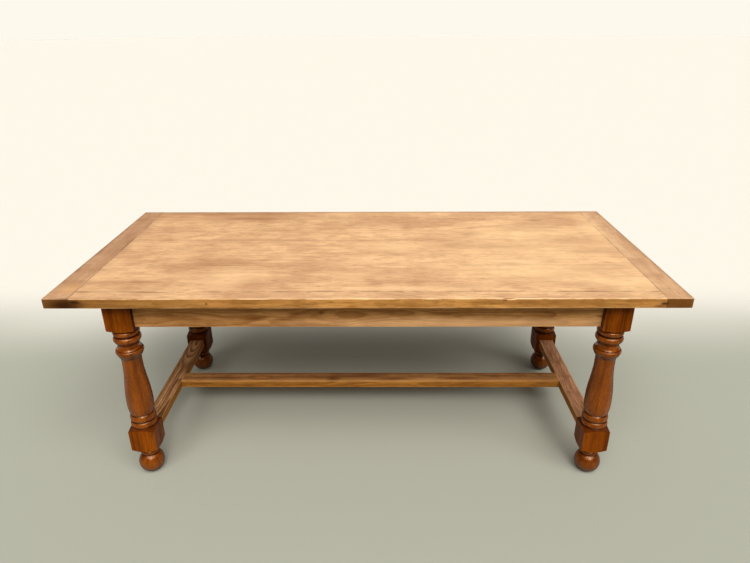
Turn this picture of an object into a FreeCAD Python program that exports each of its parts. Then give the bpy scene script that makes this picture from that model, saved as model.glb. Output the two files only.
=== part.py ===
import FreeCAD, Part
import os

import Sketcher

# A refectory table: a planked top with a breadboard across each end, carried by four turned
# legs that are tied by aprons under the top and by an H of flat stretchers near the floor.
# Millimetres. X runs along the table, Y from its front to its back and Z up from the floor.
# The origin is on the floor, below the middle of the top.

# Driving dimensions
SIZES = {
    # Whole table
    "table_length": 2035,
    "table_width": 900,
    "table_height": 760,
    "end_overhang": 153,
    "side_overhang": 53,
    # Boards of the top, from the front edge to the back
    "top_thickness": 34,
    "top_arris_radius": 3,
    "front_strip_width": 50,
    "front_board_width": 220,
    "back_board_width": 265,
    "rear_board_width": 110,
    "seam_tongue_thickness": 11,
    "seam_tongue_depth": 10,
    # Breadboards across the ends of the boards
    "breadboard_width": 84,
    "end_tongue_thickness": 12,
    "end_tongue_depth": 26,
    "end_tongue_stop": 22,
    # Legs: square stock, with heights up from the floor
    "leg_section": 92,
    "ball_diameter": 91,
    "ball_centre_height": 43,
    "lower_block_bottom": 112,
    "lower_block_top": 206,
    "upper_block_bottom": 609.5,
    "foot_shoulder_rise": 10,
    "knee_shoulder_drop": 6,
    "head_shoulder_rise": 6,
    # Aprons and their tenons
    "apron_height": 105,
    "apron_thickness": 27,
    "apron_setback": 20,
    "apron_tenon_thickness": 12,
    "apron_tenon_length": 30,
    "apron_tenon_top_shoulder": 20,
    "apron_tenon_bottom_shoulder": 10,
    # Cross rail under the middle of the top
    "cross_rail_height": 70,
    "cross_rail_thickness": 25,
    "cross_tenon_thickness": 12,
    "cross_tenon_length": 11,
    "cross_tenon_shoulder": 12,
    # Stretchers and their tenons
    "stretcher_width": 62,
    "stretcher_height": 32,
    "stretcher_top": 177,
    "end_stretcher_tenon_length": 30,
    "centre_stretcher_tenon_length": 28,
    "stretcher_tenon_width": 44,
    "stretcher_tenon_thickness": 14,
    "rail_arris_radius": 2,
    # Buttons that hold the top down, and their screws
    "button_length": 44,
    "button_width": 26,
    "button_thickness": 22,
    "button_tongue_thickness": 9,
    "button_tongue_reach": 8,
    "button_gap": 3,
    "screw_from_apron": 25,
    "screw_length": 40,
    "screw_tip_length": 7,
    "screw_shank_diameter": 4.5,
    "screw_head_diameter": 9,
    "screw_head_height": 3.4,
    # Fits
    "fit_clearance": 0.15,
    "end_relief": 1,
    "cut_overrun": 5,
}

# Places worked out from the driving dimensions
PLACES = {
    "top_underside": "table_height - top_thickness",
    "board_length": "table_length - 2 * breadboard_width",
    "middle_board_width": "table_width - front_strip_width - front_board_width"
                          " - back_board_width - rear_board_width",
    "leg_half": "leg_section / 2",
    "leg_x": "table_length / 2 - end_overhang - leg_half",
    "leg_y": "table_width / 2 - side_overhang - leg_half",
    "leg_corner_radius": "leg_half * sqrt(2)",
    "waste_radius": "leg_corner_radius + cut_overrun",
    "waste_share": "(waste_radius - leg_half) / (leg_corner_radius - leg_half)",
    "shaft_length": "upper_block_bottom - lower_block_top",
    "ball_radius": "ball_diameter / 2",
    "ball_flat_radius": "sqrt(ball_radius ^ 2 - ball_centre_height ^ 2)",
    "apron_offset": "leg_half - apron_setback - apron_thickness / 2",
    "long_apron_y": "leg_y + apron_offset",
    "side_apron_x": "leg_x + apron_offset",
    "long_apron_length": "2 * leg_x - leg_section",
    "side_apron_length": "2 * leg_y - leg_section",
    "apron_bottom": "top_underside - apron_height",
    "apron_inner_y": "long_apron_y - apron_thickness / 2",
    "apron_inner_x": "side_apron_x - apron_thickness / 2",
    "button_groove_bottom": "apron_height - button_thickness",
    "button_groove_top": "button_groove_bottom + button_tongue_thickness",
    "stretcher_bottom": "stretcher_top - stretcher_height",
    "centre_stretcher_length": "2 * leg_x - stretcher_width",
}

# Outline of the turned shaft, up from the lower block to the upper one: height as a share of the
# shaft's length, radius as a share of half the leg's section, and the rise of the round stretch
# that leads to the next point, outward or inward, as a share of that same half.
SHAFT_SHARES = [
    # Two beads on the lower block
    (0.0037, 0.890, 0),
    (0.0087, 0.845, 0),
    (0.0136, 0.890, 0.100),
    (0.0694, 0.896, 0),
    (0.0731, 0.845, 0),
    (0.0768, 0.890, 0.083),
    (0.1351, 0.870, 0),
    (0.1413, 0.823, 0),
    # Vase: belly, long taper and neck
    (0.1487, 0.883, 0.0272),
    (0.2528, 0.991, 0.0329),
    (0.4634, 0.860, -0.0329),
    (0.6741, 0.728, 0),
    (0.6939, 0.728, -0.030),
    # Neck ring: slanting underside, full bead, quirk and a flare up to the waist
    (0.7286, 0.810, 0.018),
    (0.7658, 0.970, 0.060),
    (0.8000, 0.935, 0),
    (0.8030, 0.865, 0),
    (0.8065, 0.905, -0.025),
    (0.8439, 0.757, 0),
    # Large ring with a slanting underside, and small ring below the upper block
    (0.8525, 0.765, 0),
    (0.8850, 0.965, 0.075),
    (0.9280, 0.878, 0),
    (0.9340, 0.810, 0),
    (0.9400, 0.874, 0.085),
    (0.9819, 0.874, 0),
    (0.9864, 0.825, 0),
    (0.9955, 0.880, 0),
]

# Outline of the collar over the ball foot, downwards: height as a share of the lower block's
# height over the floor, radius and rise as shares of half the leg's section.
COLLAR_SHARES = [
    (0.920, 0.641, 0),
    (0.893, 0.609, 0),
    (0.869, 0.663, 0.061),
    (0.737, 0.663, 0),
]
BALL_NECK_SHARE = 0.587

# Places of the buttons along each apron, as shares of its length from the middle
LONG_BUTTON_SHARES = (-0.36, -0.12, 0.12, 0.36)
SIDE_BUTTON_SHARES = (-0.25, 0.25)

doc = FreeCAD.newDocument("refectory_table")
sheet = doc.addObject("Spreadsheet::Sheet", "Sizes")
cells = {name: str(value) for name, value in SIZES.items()}
cells.update({name: f"={formula}" for name, formula in PLACES.items()})
for row, (name, text) in enumerate(cells.items(), start=1):
    sheet.set(f"A{row}", name)
    sheet.set(f"B{row}", text)
    sheet.setAlias(f"B{row}", name)
doc.recompute()


def number(formula):
    """Value of a formula over the sheet's cells."""
    return float(sheet.evalExpression(str(formula)))


def add_body(label):
    """New body with its name as its label."""
    body = doc.addObject("PartDesign::Body", label)
    body.Label = label
    return body


def origin_feature(body, role):
    """Axis or plane of the body's own origin."""
    return next(item for item in body.Origin.OriginFeatures if item.Role == role)


def add_sketch(body, name, role):
    """Empty sketch on one of the body's origin planes."""
    sketch = body.newObject("Sketcher::SketchObject", name)
    sketch.AttachmentSupport = [(origin_feature(body, role), "")]
    sketch.MapMode = "FlatFace"
    return sketch


def is_same(first, second):
    """True where two measures are the same but for rounding."""
    return abs(first - second) < Part.Precision.approximation()


def bind_distance(sketch, kind, axis, item, end, formula):
    """Ties one coordinate of a point to a formula, or puts the point on the axis where it is zero."""
    value = number(formula)
    if value == 0:
        sketch.addConstraint(Sketcher.Constraint("PointOnObject", item, end, axis))
        return
    if value > 0:
        index = sketch.addConstraint(Sketcher.Constraint(kind, -1, 1, item, end, value))
        sketch.setExpression(f"Constraints[{index}]", formula)
    else:
        index = sketch.addConstraint(Sketcher.Constraint(kind, item, end, -1, 1, -value))
        sketch.setExpression(f"Constraints[{index}]", f"-({formula})")


def draw_outline(sketch, points):
    """Closed outline through (across, up, rise) formulas; a rise other than 0 bows the next side."""
    spots = [FreeCAD.Vector(number(across), number(up), 0) for across, up, _ in points]
    ends = []
    for item, (across, up, rise) in enumerate(points):
        after = (item + 1) % len(points)
        start, stop = spots[item], spots[after]
        bow = number(rise)
        if bow == 0:
            sketch.addGeometry(Part.LineSegment(start, stop))
        else:
            chord = stop - start
            outward = FreeCAD.Vector(abs(chord.y), -chord.x * (1 if chord.y > 0 else -1), 0)
            crown = (start + stop) / 2 + outward.normalize() * bow
            sketch.addGeometry(Part.Arc(start, crown, stop))
        is_forward = is_same(sketch.getPoint(item, 1).distanceToPoint(start), 0)
        ends.append((1, 2) if is_forward else (2, 1))
    for item, (across, up, rise) in enumerate(points):
        after = (item + 1) % len(points)
        sketch.addConstraint(Sketcher.Constraint("Coincident", item, ends[item][1], after, ends[after][0]))
        bind_distance(sketch, "DistanceX", -2, item, ends[item][0], across)
        bind_distance(sketch, "DistanceY", -1, item, ends[item][0], up)
        if number(rise) != 0:
            chord_squared = f"((({points[after][0]}) - ({across})) ^ 2 + (({points[after][1]}) - ({up})) ^ 2)"
            bow = f"abs({rise})"
            radius = f"({chord_squared} / 4 + {bow} ^ 2) / (2 * {bow})"
            index = sketch.addConstraint(Sketcher.Constraint("Radius", item, number(radius)))
            sketch.setExpression(f"Constraints[{index}]", radius)


def add_block(body, name, role, across, up, length, kind="PartDesign::Pad"):
    """Pads, or pockets, a rectangle evenly to both sides of an origin plane."""
    sketch = add_sketch(body, f"{name}_section", role)
    (left, right), (low, high) = across, up
    draw_outline(sketch, [(left, low, 0), (right, low, 0), (right, high, 0), (left, high, 0)])
    feature = body.newObject(kind, name)
    feature.Profile = sketch
    feature.SideType = "Symmetric"
    feature.setExpression("Length", length)
    doc.recompute()
    return feature


def add_pocket(body, name, role, across, up, length):
    """Pockets a rectangle evenly to both sides of an origin plane."""
    return add_block(body, name, role, across, up, length, "PartDesign::Pocket")


def add_revolved(body, name, outline, kind):
    """Turns an outline of radii and heights about the body's upright axis, adding or cutting."""
    sketch = add_sketch(body, f"{name}_outline", "XZ_Plane")
    draw_outline(sketch, outline)
    feature = body.newObject(kind, name)
    feature.Profile = sketch
    feature.ReferenceAxis = (origin_feature(body, "Z_Axis"), [""])
    feature.Angle = 360
    doc.recompute()
    return feature


def round_edges(body, name, base, radius, chosen):
    """Rounds the edges of a feature that a test picks."""
    edges = [f"Edge{place}" for place, edge in enumerate(base.Shape.Edges, start=1) if chosen(edge)]
    fillet = body.newObject("PartDesign::Fillet", name)
    fillet.Base = (base, edges)
    fillet.setExpression("Radius", radius)
    doc.recompute()
    return fillet


def runs_along(edge, axis):
    """True where a straight edge lies along an axis, named x, y or z."""
    first, last = (vertex.Point for vertex in edge.Vertexes)
    return is_same(abs(getattr(last - first, axis)), edge.Length)


def place_at(thing, x, y, z, turn=0):
    """Ties a thing's place to formulas and turns it about the upright by whole degrees."""
    thing.Placement = FreeCAD.Placement(FreeCAD.Vector(), FreeCAD.Rotation(FreeCAD.Vector(0, 0, 1), turn))
    for axis, formula in zip("xyz", (x, y, z)):
        thing.setExpression(f"Placement.Base.{axis}", formula)


subparts = []


# Legs
def shoulder_height(face_height, rise):
    """Height of a block's sloped shoulder where it leaves the turned waste."""
    return f"{face_height} + ({rise}) * Sizes.waste_share"


knee_height = shoulder_height("Sizes.lower_block_top", "-Sizes.knee_shoulder_drop")
head_height = shoulder_height("Sizes.upper_block_bottom", "Sizes.head_shoulder_rise")
shaft_outline = [("Sizes.waste_radius", knee_height, 0)]
for height_share, radius_share, rise_share in SHAFT_SHARES:
    shaft_outline.append((
        f"{radius_share} * Sizes.leg_half",
        f"Sizes.lower_block_top + {height_share} * Sizes.shaft_length",
        f"{rise_share} * Sizes.leg_half",
    ))
shaft_outline.append(("Sizes.waste_radius", head_height, 0))

ball_neck_radius = f"({BALL_NECK_SHARE} * Sizes.leg_half)"
ball_neck_height = f"(Sizes.ball_centre_height + sqrt(Sizes.ball_radius ^ 2 - {ball_neck_radius} ^ 2))"
ball_chord_squared = f"(({ball_neck_radius} - Sizes.ball_flat_radius) ^ 2 + {ball_neck_height} ^ 2)"
ball_rise = f"Sizes.ball_radius - sqrt(Sizes.ball_radius ^ 2 - {ball_chord_squared} / 4)"

ankle_height = shoulder_height("Sizes.lower_block_bottom", "Sizes.foot_shoulder_rise")
foot_outline = [("Sizes.waste_radius", ankle_height, 0)]
for height_share, radius_share, rise_share in COLLAR_SHARES:
    foot_outline.append((
        f"{radius_share} * Sizes.leg_half",
        f"{height_share} * Sizes.lower_block_bottom",
        f"{rise_share} * Sizes.leg_half",
    ))
foot_outline += [
    (ball_neck_radius, ball_neck_height, ball_rise),
    ("Sizes.ball_flat_radius", "0", 0),
    ("Sizes.ball_flat_radius", "-Sizes.cut_overrun", 0),
    ("Sizes.waste_radius", "-Sizes.cut_overrun", 0),
]

leg_blank = add_body("turned_leg_blank")
stock_section = add_sketch(leg_blank, "stock_section", "XY_Plane")
draw_outline(stock_section, [
    ("-Sizes.leg_half", "-Sizes.leg_half", 0),
    ("Sizes.leg_half", "-Sizes.leg_half", 0),
    ("Sizes.leg_half", "Sizes.leg_half", 0),
    ("-Sizes.leg_half", "Sizes.leg_half", 0),
])
stock = leg_blank.newObject("PartDesign::Pad", "stock")
stock.Profile = stock_section
stock.setExpression("Length", "Sizes.top_underside")
doc.recompute()
add_revolved(leg_blank, "shaft_waste", shaft_outline, "PartDesign::Groove")
add_revolved(leg_blank, "foot_waste", foot_outline, "PartDesign::Groove")


def add_box(name, x, y, z):
    """Box between pairs of formulas along each axis."""
    box = doc.addObject("Part::Box", name)
    for side, axis, (low, high) in zip(("Length", "Width", "Height"), "xyz", (x, y, z)):
        box.setExpression(side, f"({high}) - ({low})")
        box.setExpression(f"Placement.Base.{axis}", low)
    return box


def spread(middle, width):
    """Pair of formulas a fitting clearance outside a width about a middle."""
    return (f"{middle} - {width} / 2 - Sizes.fit_clearance", f"{middle} + {width} / 2 + Sizes.fit_clearance")


def leg_mortises(hand):
    """Mortises of one hand of leg, with the long apron on +X and the side apron on the +Y or -Y face."""
    side = "front" if hand > 0 else "back"

    def inward(depth):
        low = f"Sizes.leg_half - {depth} - Sizes.end_relief"
        high = "Sizes.leg_half + Sizes.cut_overrun"
        return low, high

    def handed(pair):
        low, high = pair
        return pair if hand > 0 else (f"-({high})", f"-({low})")

    apron_height = (
        "Sizes.apron_bottom + Sizes.apron_tenon_bottom_shoulder - Sizes.fit_clearance",
        "Sizes.top_underside - Sizes.apron_tenon_top_shoulder + Sizes.fit_clearance",
    )
    stretcher_height = spread(
        "Sizes.stretcher_top - Sizes.stretcher_height / 2", "Sizes.stretcher_tenon_thickness")
    off_centre = spread("-Sizes.apron_offset", "Sizes.apron_tenon_thickness")
    boxes = [
        add_box(f"long_apron_mortise_{side}",
                inward("Sizes.apron_tenon_length"), handed(off_centre), apron_height),
        add_box(f"side_apron_mortise_{side}",
                off_centre, handed(inward("Sizes.apron_tenon_length")), apron_height),
        add_box(f"stretcher_mortise_{side}",
                spread("0", "Sizes.stretcher_tenon_width"),
                handed(inward("Sizes.end_stretcher_tenon_length")), stretcher_height),
    ]
    group = doc.addObject("Part::Compound", f"mortises_{side}")
    group.Links = boxes
    return group


mortises = {hand: leg_mortises(hand) for hand in (1, -1)}
for end_name, end in (("left", -1), ("right", 1)):
    for side_name, side in (("front", -1), ("back", 1)):
        leg = doc.addObject("Part::Cut", f"leg_{side_name}_{end_name}")
        leg.Base = leg_blank
        leg.Tool = mortises[end * side]
        place_at(leg, f"{end} * Sizes.leg_x", f"{side} * Sizes.leg_y", "0", 0 if end < 0 else 180)
        subparts.append(leg)


# Aprons, each with a groove for the buttons along its inner face
def add_apron(label, length, x, y, turn, joins_cross_rail):
    """Apron along local X, its outer face towards local -Y, with a tenon at each end."""
    body = add_body(label)
    half = "Sizes.apron_thickness / 2"
    board = add_block(body, f"{label}_board", "YZ_Plane",
                      (f"-{half}", half), ("0", "Sizes.apron_height"), length)
    round_edges(body, f"{label}_arris", board, "Sizes.rail_arris_radius",
                lambda edge: runs_along(edge, "x") and is_same(edge.CenterOfMass.z, 0))
    add_block(body, f"{label}_tenons", "YZ_Plane",
              ("-Sizes.apron_tenon_thickness / 2", "Sizes.apron_tenon_thickness / 2"),
              ("Sizes.apron_tenon_bottom_shoulder", "Sizes.apron_height - Sizes.apron_tenon_top_shoulder"),
              f"{length} + 2 * Sizes.apron_tenon_length")
    add_pocket(body, f"{label}_button_groove", "YZ_Plane",
               (f"{half} - Sizes.button_tongue_reach - Sizes.end_relief", f"{half} + Sizes.cut_overrun"),
               ("Sizes.button_groove_bottom - Sizes.fit_clearance", "Sizes.button_groove_top"), length)
    if joins_cross_rail:
        add_pocket(body, f"{label}_cross_mortise", "YZ_Plane",
                   (f"{half} - Sizes.cross_tenon_length - Sizes.end_relief", f"{half} + Sizes.cut_overrun"),
                   spread("Sizes.apron_height - Sizes.cross_rail_height / 2",
                          "(Sizes.cross_rail_height - 2 * Sizes.cross_tenon_shoulder)"),
                   "Sizes.cross_tenon_thickness + 2 * Sizes.fit_clearance")
    place_at(body, x, y, "Sizes.apron_bottom", turn)
    subparts.append(body)


add_apron("apron_front", "Sizes.long_apron_length", "0", "-Sizes.long_apron_y", 0, True)
add_apron("apron_back", "Sizes.long_apron_length", "0", "Sizes.long_apron_y", 180, True)
add_apron("apron_left", "Sizes.side_apron_length", "-Sizes.side_apron_x", "0", -90, False)
add_apron("apron_right", "Sizes.side_apron_length", "Sizes.side_apron_x", "0", 90, False)

# Cross rail, tenoned between the long aprons
cross_rail = add_body("cross_rail")
cross_rail_length = "2 * Sizes.apron_inner_y"
add_block(cross_rail, "cross_rail_board", "YZ_Plane",
          ("-Sizes.cross_rail_thickness / 2", "Sizes.cross_rail_thickness / 2"),
          ("0", "Sizes.cross_rail_height"), cross_rail_length)
add_block(cross_rail, "cross_rail_tenons", "YZ_Plane",
          ("-Sizes.cross_tenon_thickness / 2", "Sizes.cross_tenon_thickness / 2"),
          ("Sizes.cross_tenon_shoulder", "Sizes.cross_rail_height - Sizes.cross_tenon_shoulder"),
          f"{cross_rail_length} + 2 * Sizes.cross_tenon_length")
place_at(cross_rail, "0", "0", "Sizes.top_underside - Sizes.cross_rail_height", 90)
subparts.append(cross_rail)


# Stretchers: two between the legs of an end, and one along the table between those two
def add_stretcher(label, length, tenon_length):
    """Flat stretcher along local X with a tenon at each end."""
    body = add_body(label)
    half = "Sizes.stretcher_width / 2"
    board = add_block(body, f"{label}_board", "YZ_Plane",
                      (f"-{half}", half), ("0", "Sizes.stretcher_height"), length)
    round_edges(body, f"{label}_arris", board, "Sizes.rail_arris_radius", lambda edge: runs_along(edge, "x"))
    add_block(body, f"{label}_tenons", "YZ_Plane",
              ("-Sizes.stretcher_tenon_width / 2", "Sizes.stretcher_tenon_width / 2"),
              ("Sizes.stretcher_height / 2 - Sizes.stretcher_tenon_thickness / 2",
               "Sizes.stretcher_height / 2 + Sizes.stretcher_tenon_thickness / 2"),
              f"{length} + 2 * {tenon_length}")
    subparts.append(body)
    return body


for end_name, end in (("left", -1), ("right", 1)):
    stretcher = add_stretcher(
        f"stretcher_{end_name}", "Sizes.side_apron_length", "Sizes.end_stretcher_tenon_length")
    add_pocket(stretcher, f"centre_mortise_{end_name}", "YZ_Plane",
               ("Sizes.stretcher_width / 2 - Sizes.centre_stretcher_tenon_length - Sizes.end_relief",
                "Sizes.stretcher_width / 2 + Sizes.cut_overrun"),
               spread("Sizes.stretcher_height / 2", "Sizes.stretcher_tenon_thickness"),
               "Sizes.stretcher_tenon_width + 2 * Sizes.fit_clearance")
    place_at(stretcher, f"{end} * Sizes.leg_x", "0", "Sizes.stretcher_bottom", 90 * end)

centre_stretcher = add_stretcher(
    "stretcher_centre", "Sizes.centre_stretcher_length", "Sizes.centre_stretcher_tenon_length")
place_at(centre_stretcher, "0", "0", "Sizes.stretcher_bottom")

# Buttons with their screws, and the screws' pilot holes in the top
button = add_body("button_pattern")
button_section = add_sketch(button, "button_section", "YZ_Plane")
draw_outline(button_section, [
    ("-Sizes.button_tongue_reach", "-Sizes.button_thickness", 0),
    ("Sizes.button_length", "-Sizes.button_thickness", 0),
    ("Sizes.button_length", "0", 0),
    ("Sizes.button_gap", "0", 0),
    ("Sizes.button_gap", "Sizes.button_tongue_thickness - Sizes.button_thickness", 0),
    ("-Sizes.button_tongue_reach", "Sizes.button_tongue_thickness - Sizes.button_thickness", 0),
])
button_block = button.newObject("PartDesign::Pad", "button_block")
button_block.Profile = button_section
button_block.SideType = "Symmetric"
button_block.setExpression("Length", "Sizes.button_width")
doc.recompute()


def add_screw_hole(name, depth_low, depth_high):
    """Upright cylinder on the screw's line, a fitting clearance wider than its shank."""
    hole = doc.addObject("Part::Cylinder", name)
    hole.setExpression("Radius", "Sizes.screw_shank_diameter / 2 + Sizes.fit_clearance")
    hole.setExpression("Height", f"({depth_high}) - ({depth_low})")
    hole.setExpression("Placement.Base.y", "Sizes.screw_from_apron")
    hole.setExpression("Placement.Base.z", depth_low)
    return hole


bored_button = doc.addObject("Part::Cut", "bored_button")
bored_button.Base = button
bored_button.Tool = add_screw_hole(
    "button_hole", "-Sizes.button_thickness - Sizes.cut_overrun", "Sizes.cut_overrun")
pilot_hole = add_screw_hole(
    "pilot_hole", "-Sizes.cut_overrun", "Sizes.screw_length - Sizes.button_thickness + Sizes.end_relief")

screw = add_body("screw_pattern")
shank_radius = "Sizes.screw_shank_diameter / 2"
head_radius = "Sizes.screw_head_diameter / 2"
head_chord_squared = f"(({head_radius}) ^ 2 + Sizes.screw_head_height ^ 2)"
head_round = f"({head_chord_squared} / (2 * Sizes.screw_head_height))"
head_rise = f"{head_round} - sqrt({head_round} ^ 2 - {head_chord_squared} / 4)"
add_revolved(screw, "screw_turning", [
    ("0", "-Sizes.screw_head_height", head_rise),
    (head_radius, "0", 0),
    (shank_radius, "0", 0),
    (shank_radius, "Sizes.screw_length - Sizes.screw_tip_length", 0),
    ("0", "Sizes.screw_length", 0),
], "PartDesign::Revolution")
screw.setExpression("Placement.Base.y", "Sizes.screw_from_apron")
screw.setExpression("Placement.Base.z", "-Sizes.button_thickness")

button_places = []
for share in LONG_BUTTON_SHARES:
    along = f"{share} * Sizes.long_apron_length"
    button_places.append((along, "-Sizes.apron_inner_y", 0))
    button_places.append((along, "Sizes.apron_inner_y", 180))
for share in SIDE_BUTTON_SHARES:
    along = f"{share} * Sizes.side_apron_length"
    button_places.append(("-Sizes.apron_inner_x", along, -90))
    button_places.append(("Sizes.apron_inner_x", along, 90))


def add_group(label, pattern):
    """Copies of a pattern at every button's place, held together in one group."""
    copies = []
    for count, (x, y, turn) in enumerate(button_places, start=1):
        holder = doc.addObject("Part::Compound", f"{label}_{count}")
        holder.Links = [pattern]
        place_at(holder, x, y, "Sizes.top_underside", turn)
        copies.append(holder)
    group = doc.addObject("Part::Compound", label)
    group.Links = copies
    return group


subparts.append(add_group("top_buttons", bored_button))
subparts.append(add_group("button_screws", screw))
pilot_holes = add_group("pilot_holes", pilot_hole)

# Boards of the top, tongued and grooved to each other, with a tongue along both ends
BOARDS = ["top_front_strip", "top_board_front", "top_board_middle", "top_board_back", "top_board_rear"]
BOARD_WIDTHS = [
    "Sizes.front_strip_width",
    "Sizes.front_board_width",
    "Sizes.middle_board_width",
    "Sizes.back_board_width",
    "Sizes.rear_board_width",
]
half_thickness = "Sizes.top_thickness / 2"
edge_y = "-Sizes.table_width / 2"
for label, width in zip(BOARDS, BOARD_WIDTHS):
    is_first = label == BOARDS[0]
    is_last = label == BOARDS[-1]
    body = add_body(f"{label}_unbored")
    plank = add_block(body, f"{label}_plank", "YZ_Plane", ("0", width), ("0", "Sizes.top_thickness"),
                      "Sizes.board_length")
    if is_first or is_last:
        outer_y = 0 if is_first else number(width)
        round_edges(body, f"{label}_arris", plank, "Sizes.top_arris_radius",
                    lambda edge: runs_along(edge, "x") and is_same(edge.CenterOfMass.y, outer_y))
    add_block(body, f"{label}_end_tongues", "YZ_Plane",
              ("Sizes.end_tongue_stop" if is_first else "0",
               f"{width} - Sizes.end_tongue_stop" if is_last else width),
              (f"{half_thickness} - Sizes.end_tongue_thickness / 2",
               f"{half_thickness} + Sizes.end_tongue_thickness / 2"),
              "Sizes.board_length + 2 * Sizes.end_tongue_depth")
    if not is_first:
        add_pocket(body, f"{label}_seam_groove", "YZ_Plane",
                   ("-Sizes.cut_overrun", "Sizes.seam_tongue_depth + Sizes.end_relief"),
                   spread(half_thickness, "Sizes.seam_tongue_thickness"), "Sizes.board_length")
    if not is_last:
        add_block(body, f"{label}_seam_tongue", "YZ_Plane",
                  (width, f"{width} + Sizes.seam_tongue_depth"),
                  (f"{half_thickness} - Sizes.seam_tongue_thickness / 2",
                   f"{half_thickness} + Sizes.seam_tongue_thickness / 2"), "Sizes.board_length")
    place_at(body, "0", edge_y, "Sizes.top_underside")
    edge_y = f"{edge_y} + {width}"
    board = doc.addObject("Part::Cut", label)
    board.Base = body
    board.Tool = pilot_holes
    subparts.append(board)

# Breadboards, grooved over the tongues at the ends of the boards
for end_name, turn in (("left", 180), ("right", 0)):
    label = f"breadboard_{end_name}"
    breadboard = add_body(label)
    plank = add_block(breadboard, f"{label}_plank", "XZ_Plane", ("0", "Sizes.breadboard_width"),
                      ("0", "Sizes.top_thickness"), "Sizes.table_width")
    round_edges(breadboard, f"{label}_arris", plank, "Sizes.top_arris_radius",
                lambda edge: not is_same(edge.CenterOfMass.x, 0))
    add_pocket(breadboard, f"{label}_groove", "XZ_Plane",
               ("-Sizes.cut_overrun", "Sizes.end_tongue_depth + Sizes.end_relief"),
               spread(half_thickness, "Sizes.end_tongue_thickness"),
               "Sizes.table_width - 2 * Sizes.end_tongue_stop + 2 * Sizes.fit_clearance")
    end = -1 if turn else 1
    place_at(breadboard, f"{end} * Sizes.board_length / 2", "0", "Sizes.top_underside", turn)
    subparts.append(breadboard)

doc.recompute()

# Every object has to be sound, and every cut has to take something away
for thing in doc.Objects:
    if {"Invalid", "Error"} & set(thing.State):
        raise RuntimeError(f"{thing.Label} failed: {thing.State}")
    if thing.TypeId in ("PartDesign::Pocket", "PartDesign::Groove"):
        if thing.Shape.Volume >= thing.BaseFeature.Shape.Volume:
            raise RuntimeError(f"{thing.Label} cuts nothing")
for subpart in subparts:
    if subpart.Shape.isNull() or not subpart.Shape.isValid():
        raise RuntimeError(f"{subpart.Label} has no valid shape")

os.makedirs("parts", exist_ok=True)
for subpart in subparts:
    subpart.Shape.exportStep(f"parts/{subpart.Label}.step")
    print(f"{subpart.Label}: {len(subpart.Shape.Solids)} solid(s), {subpart.Shape.Volume:.0f} cubic mm")
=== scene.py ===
"""Looks of a refectory dining table: planked top, turned legs, aprons and stretchers of worn oak.

Metres throughout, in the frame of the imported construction: X runs along the table, Y from its
front to its back and Z up from the floor.
"""

import logging
import math
import random
from dataclasses import dataclass, field
from enum import Enum
from functools import cached_property

import bmesh
import bpy
from mathutils import Euler, Matrix, Vector, noise


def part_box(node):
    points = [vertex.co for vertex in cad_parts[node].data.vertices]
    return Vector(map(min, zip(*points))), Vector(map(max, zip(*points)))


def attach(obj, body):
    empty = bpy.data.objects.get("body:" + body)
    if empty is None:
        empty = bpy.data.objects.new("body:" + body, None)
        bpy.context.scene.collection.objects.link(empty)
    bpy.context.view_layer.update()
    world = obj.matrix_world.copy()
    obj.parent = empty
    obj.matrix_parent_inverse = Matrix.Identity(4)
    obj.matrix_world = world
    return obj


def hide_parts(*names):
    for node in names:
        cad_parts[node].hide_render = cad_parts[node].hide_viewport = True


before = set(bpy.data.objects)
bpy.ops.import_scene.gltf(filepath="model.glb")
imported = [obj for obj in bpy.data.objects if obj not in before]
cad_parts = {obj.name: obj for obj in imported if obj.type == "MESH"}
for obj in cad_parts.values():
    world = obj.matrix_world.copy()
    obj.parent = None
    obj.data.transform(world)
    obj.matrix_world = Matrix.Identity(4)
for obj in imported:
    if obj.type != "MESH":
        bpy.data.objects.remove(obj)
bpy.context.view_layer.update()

LOG = logging.getLogger("refectory_table")
BODY = "root"
MM = 0.001
MERGE_DISTANCE = 0.01 * MM
FLAT_ANGLE = math.radians(0.5)
FLAT_WEIGHT = 80
SHARP_ANGLE = math.radians(32)
# Seed of the noise that the boards wander by, which follows the clock where it is left unset
NOISE_SEED = 1

# Curve between screen values and light: a straight toe, then a power
SCREEN_WHITE = 255
TOE_END = 0.04045
TOE_SLOPE = 12.92
CURVE_LIFT = 0.055
CURVE_POWER = 2.4

Pair = tuple[float, float]
Triple = tuple[float, float, float]
Colour = tuple[float, float, float, float]
Outline = list[Pair]
Box = tuple[Vector, Vector]
Socket = bpy.types.NodeSocket
Number = float | Socket


def tone(red: int, green: int, blue: int) -> Colour:
    """Turns a tone in screen values into a linear colour.

    Args:
        red: Red, from 0 to 255.
        green: Green, from 0 to 255.
        blue: Blue, from 0 to 255.

    Returns:
        The colour as shaders take it.
    """
    def linear(value: int) -> float:
        """Linear share of one screen value.

        Args:
            value: Screen value, from 0 to 255.

        Returns:
            Share of full light.
        """
        share = value / SCREEN_WHITE
        if share <= TOE_END:
            return share / TOE_SLOPE
        return ((share + CURVE_LIFT) / (1 + CURVE_LIFT)) ** CURVE_POWER

    return linear(red), linear(green), linear(blue), 1.0


AMBER_SHEEN: Colour = (1.0, 0.75, 0.5, 1.0)
RED_SHEEN: Colour = (1.0, 0.58, 0.32, 1.0)


class Grain(Enum):
    """Way that the fibres of a piece run, as the turn in degrees that lays them along X."""

    ALONG_X = (0, 0, 0)
    ALONG_Y = (0, 0, -90)
    ALONG_Z = (0, 90, 0)

    @property
    def turn(self) -> Euler:
        """The turn as angles in radians."""
        return Euler([math.radians(angle) for angle in self.value])

    @property
    def axis(self) -> int:
        """Index of the axis that the fibres run along."""
        return list(Grain).index(self)


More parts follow.
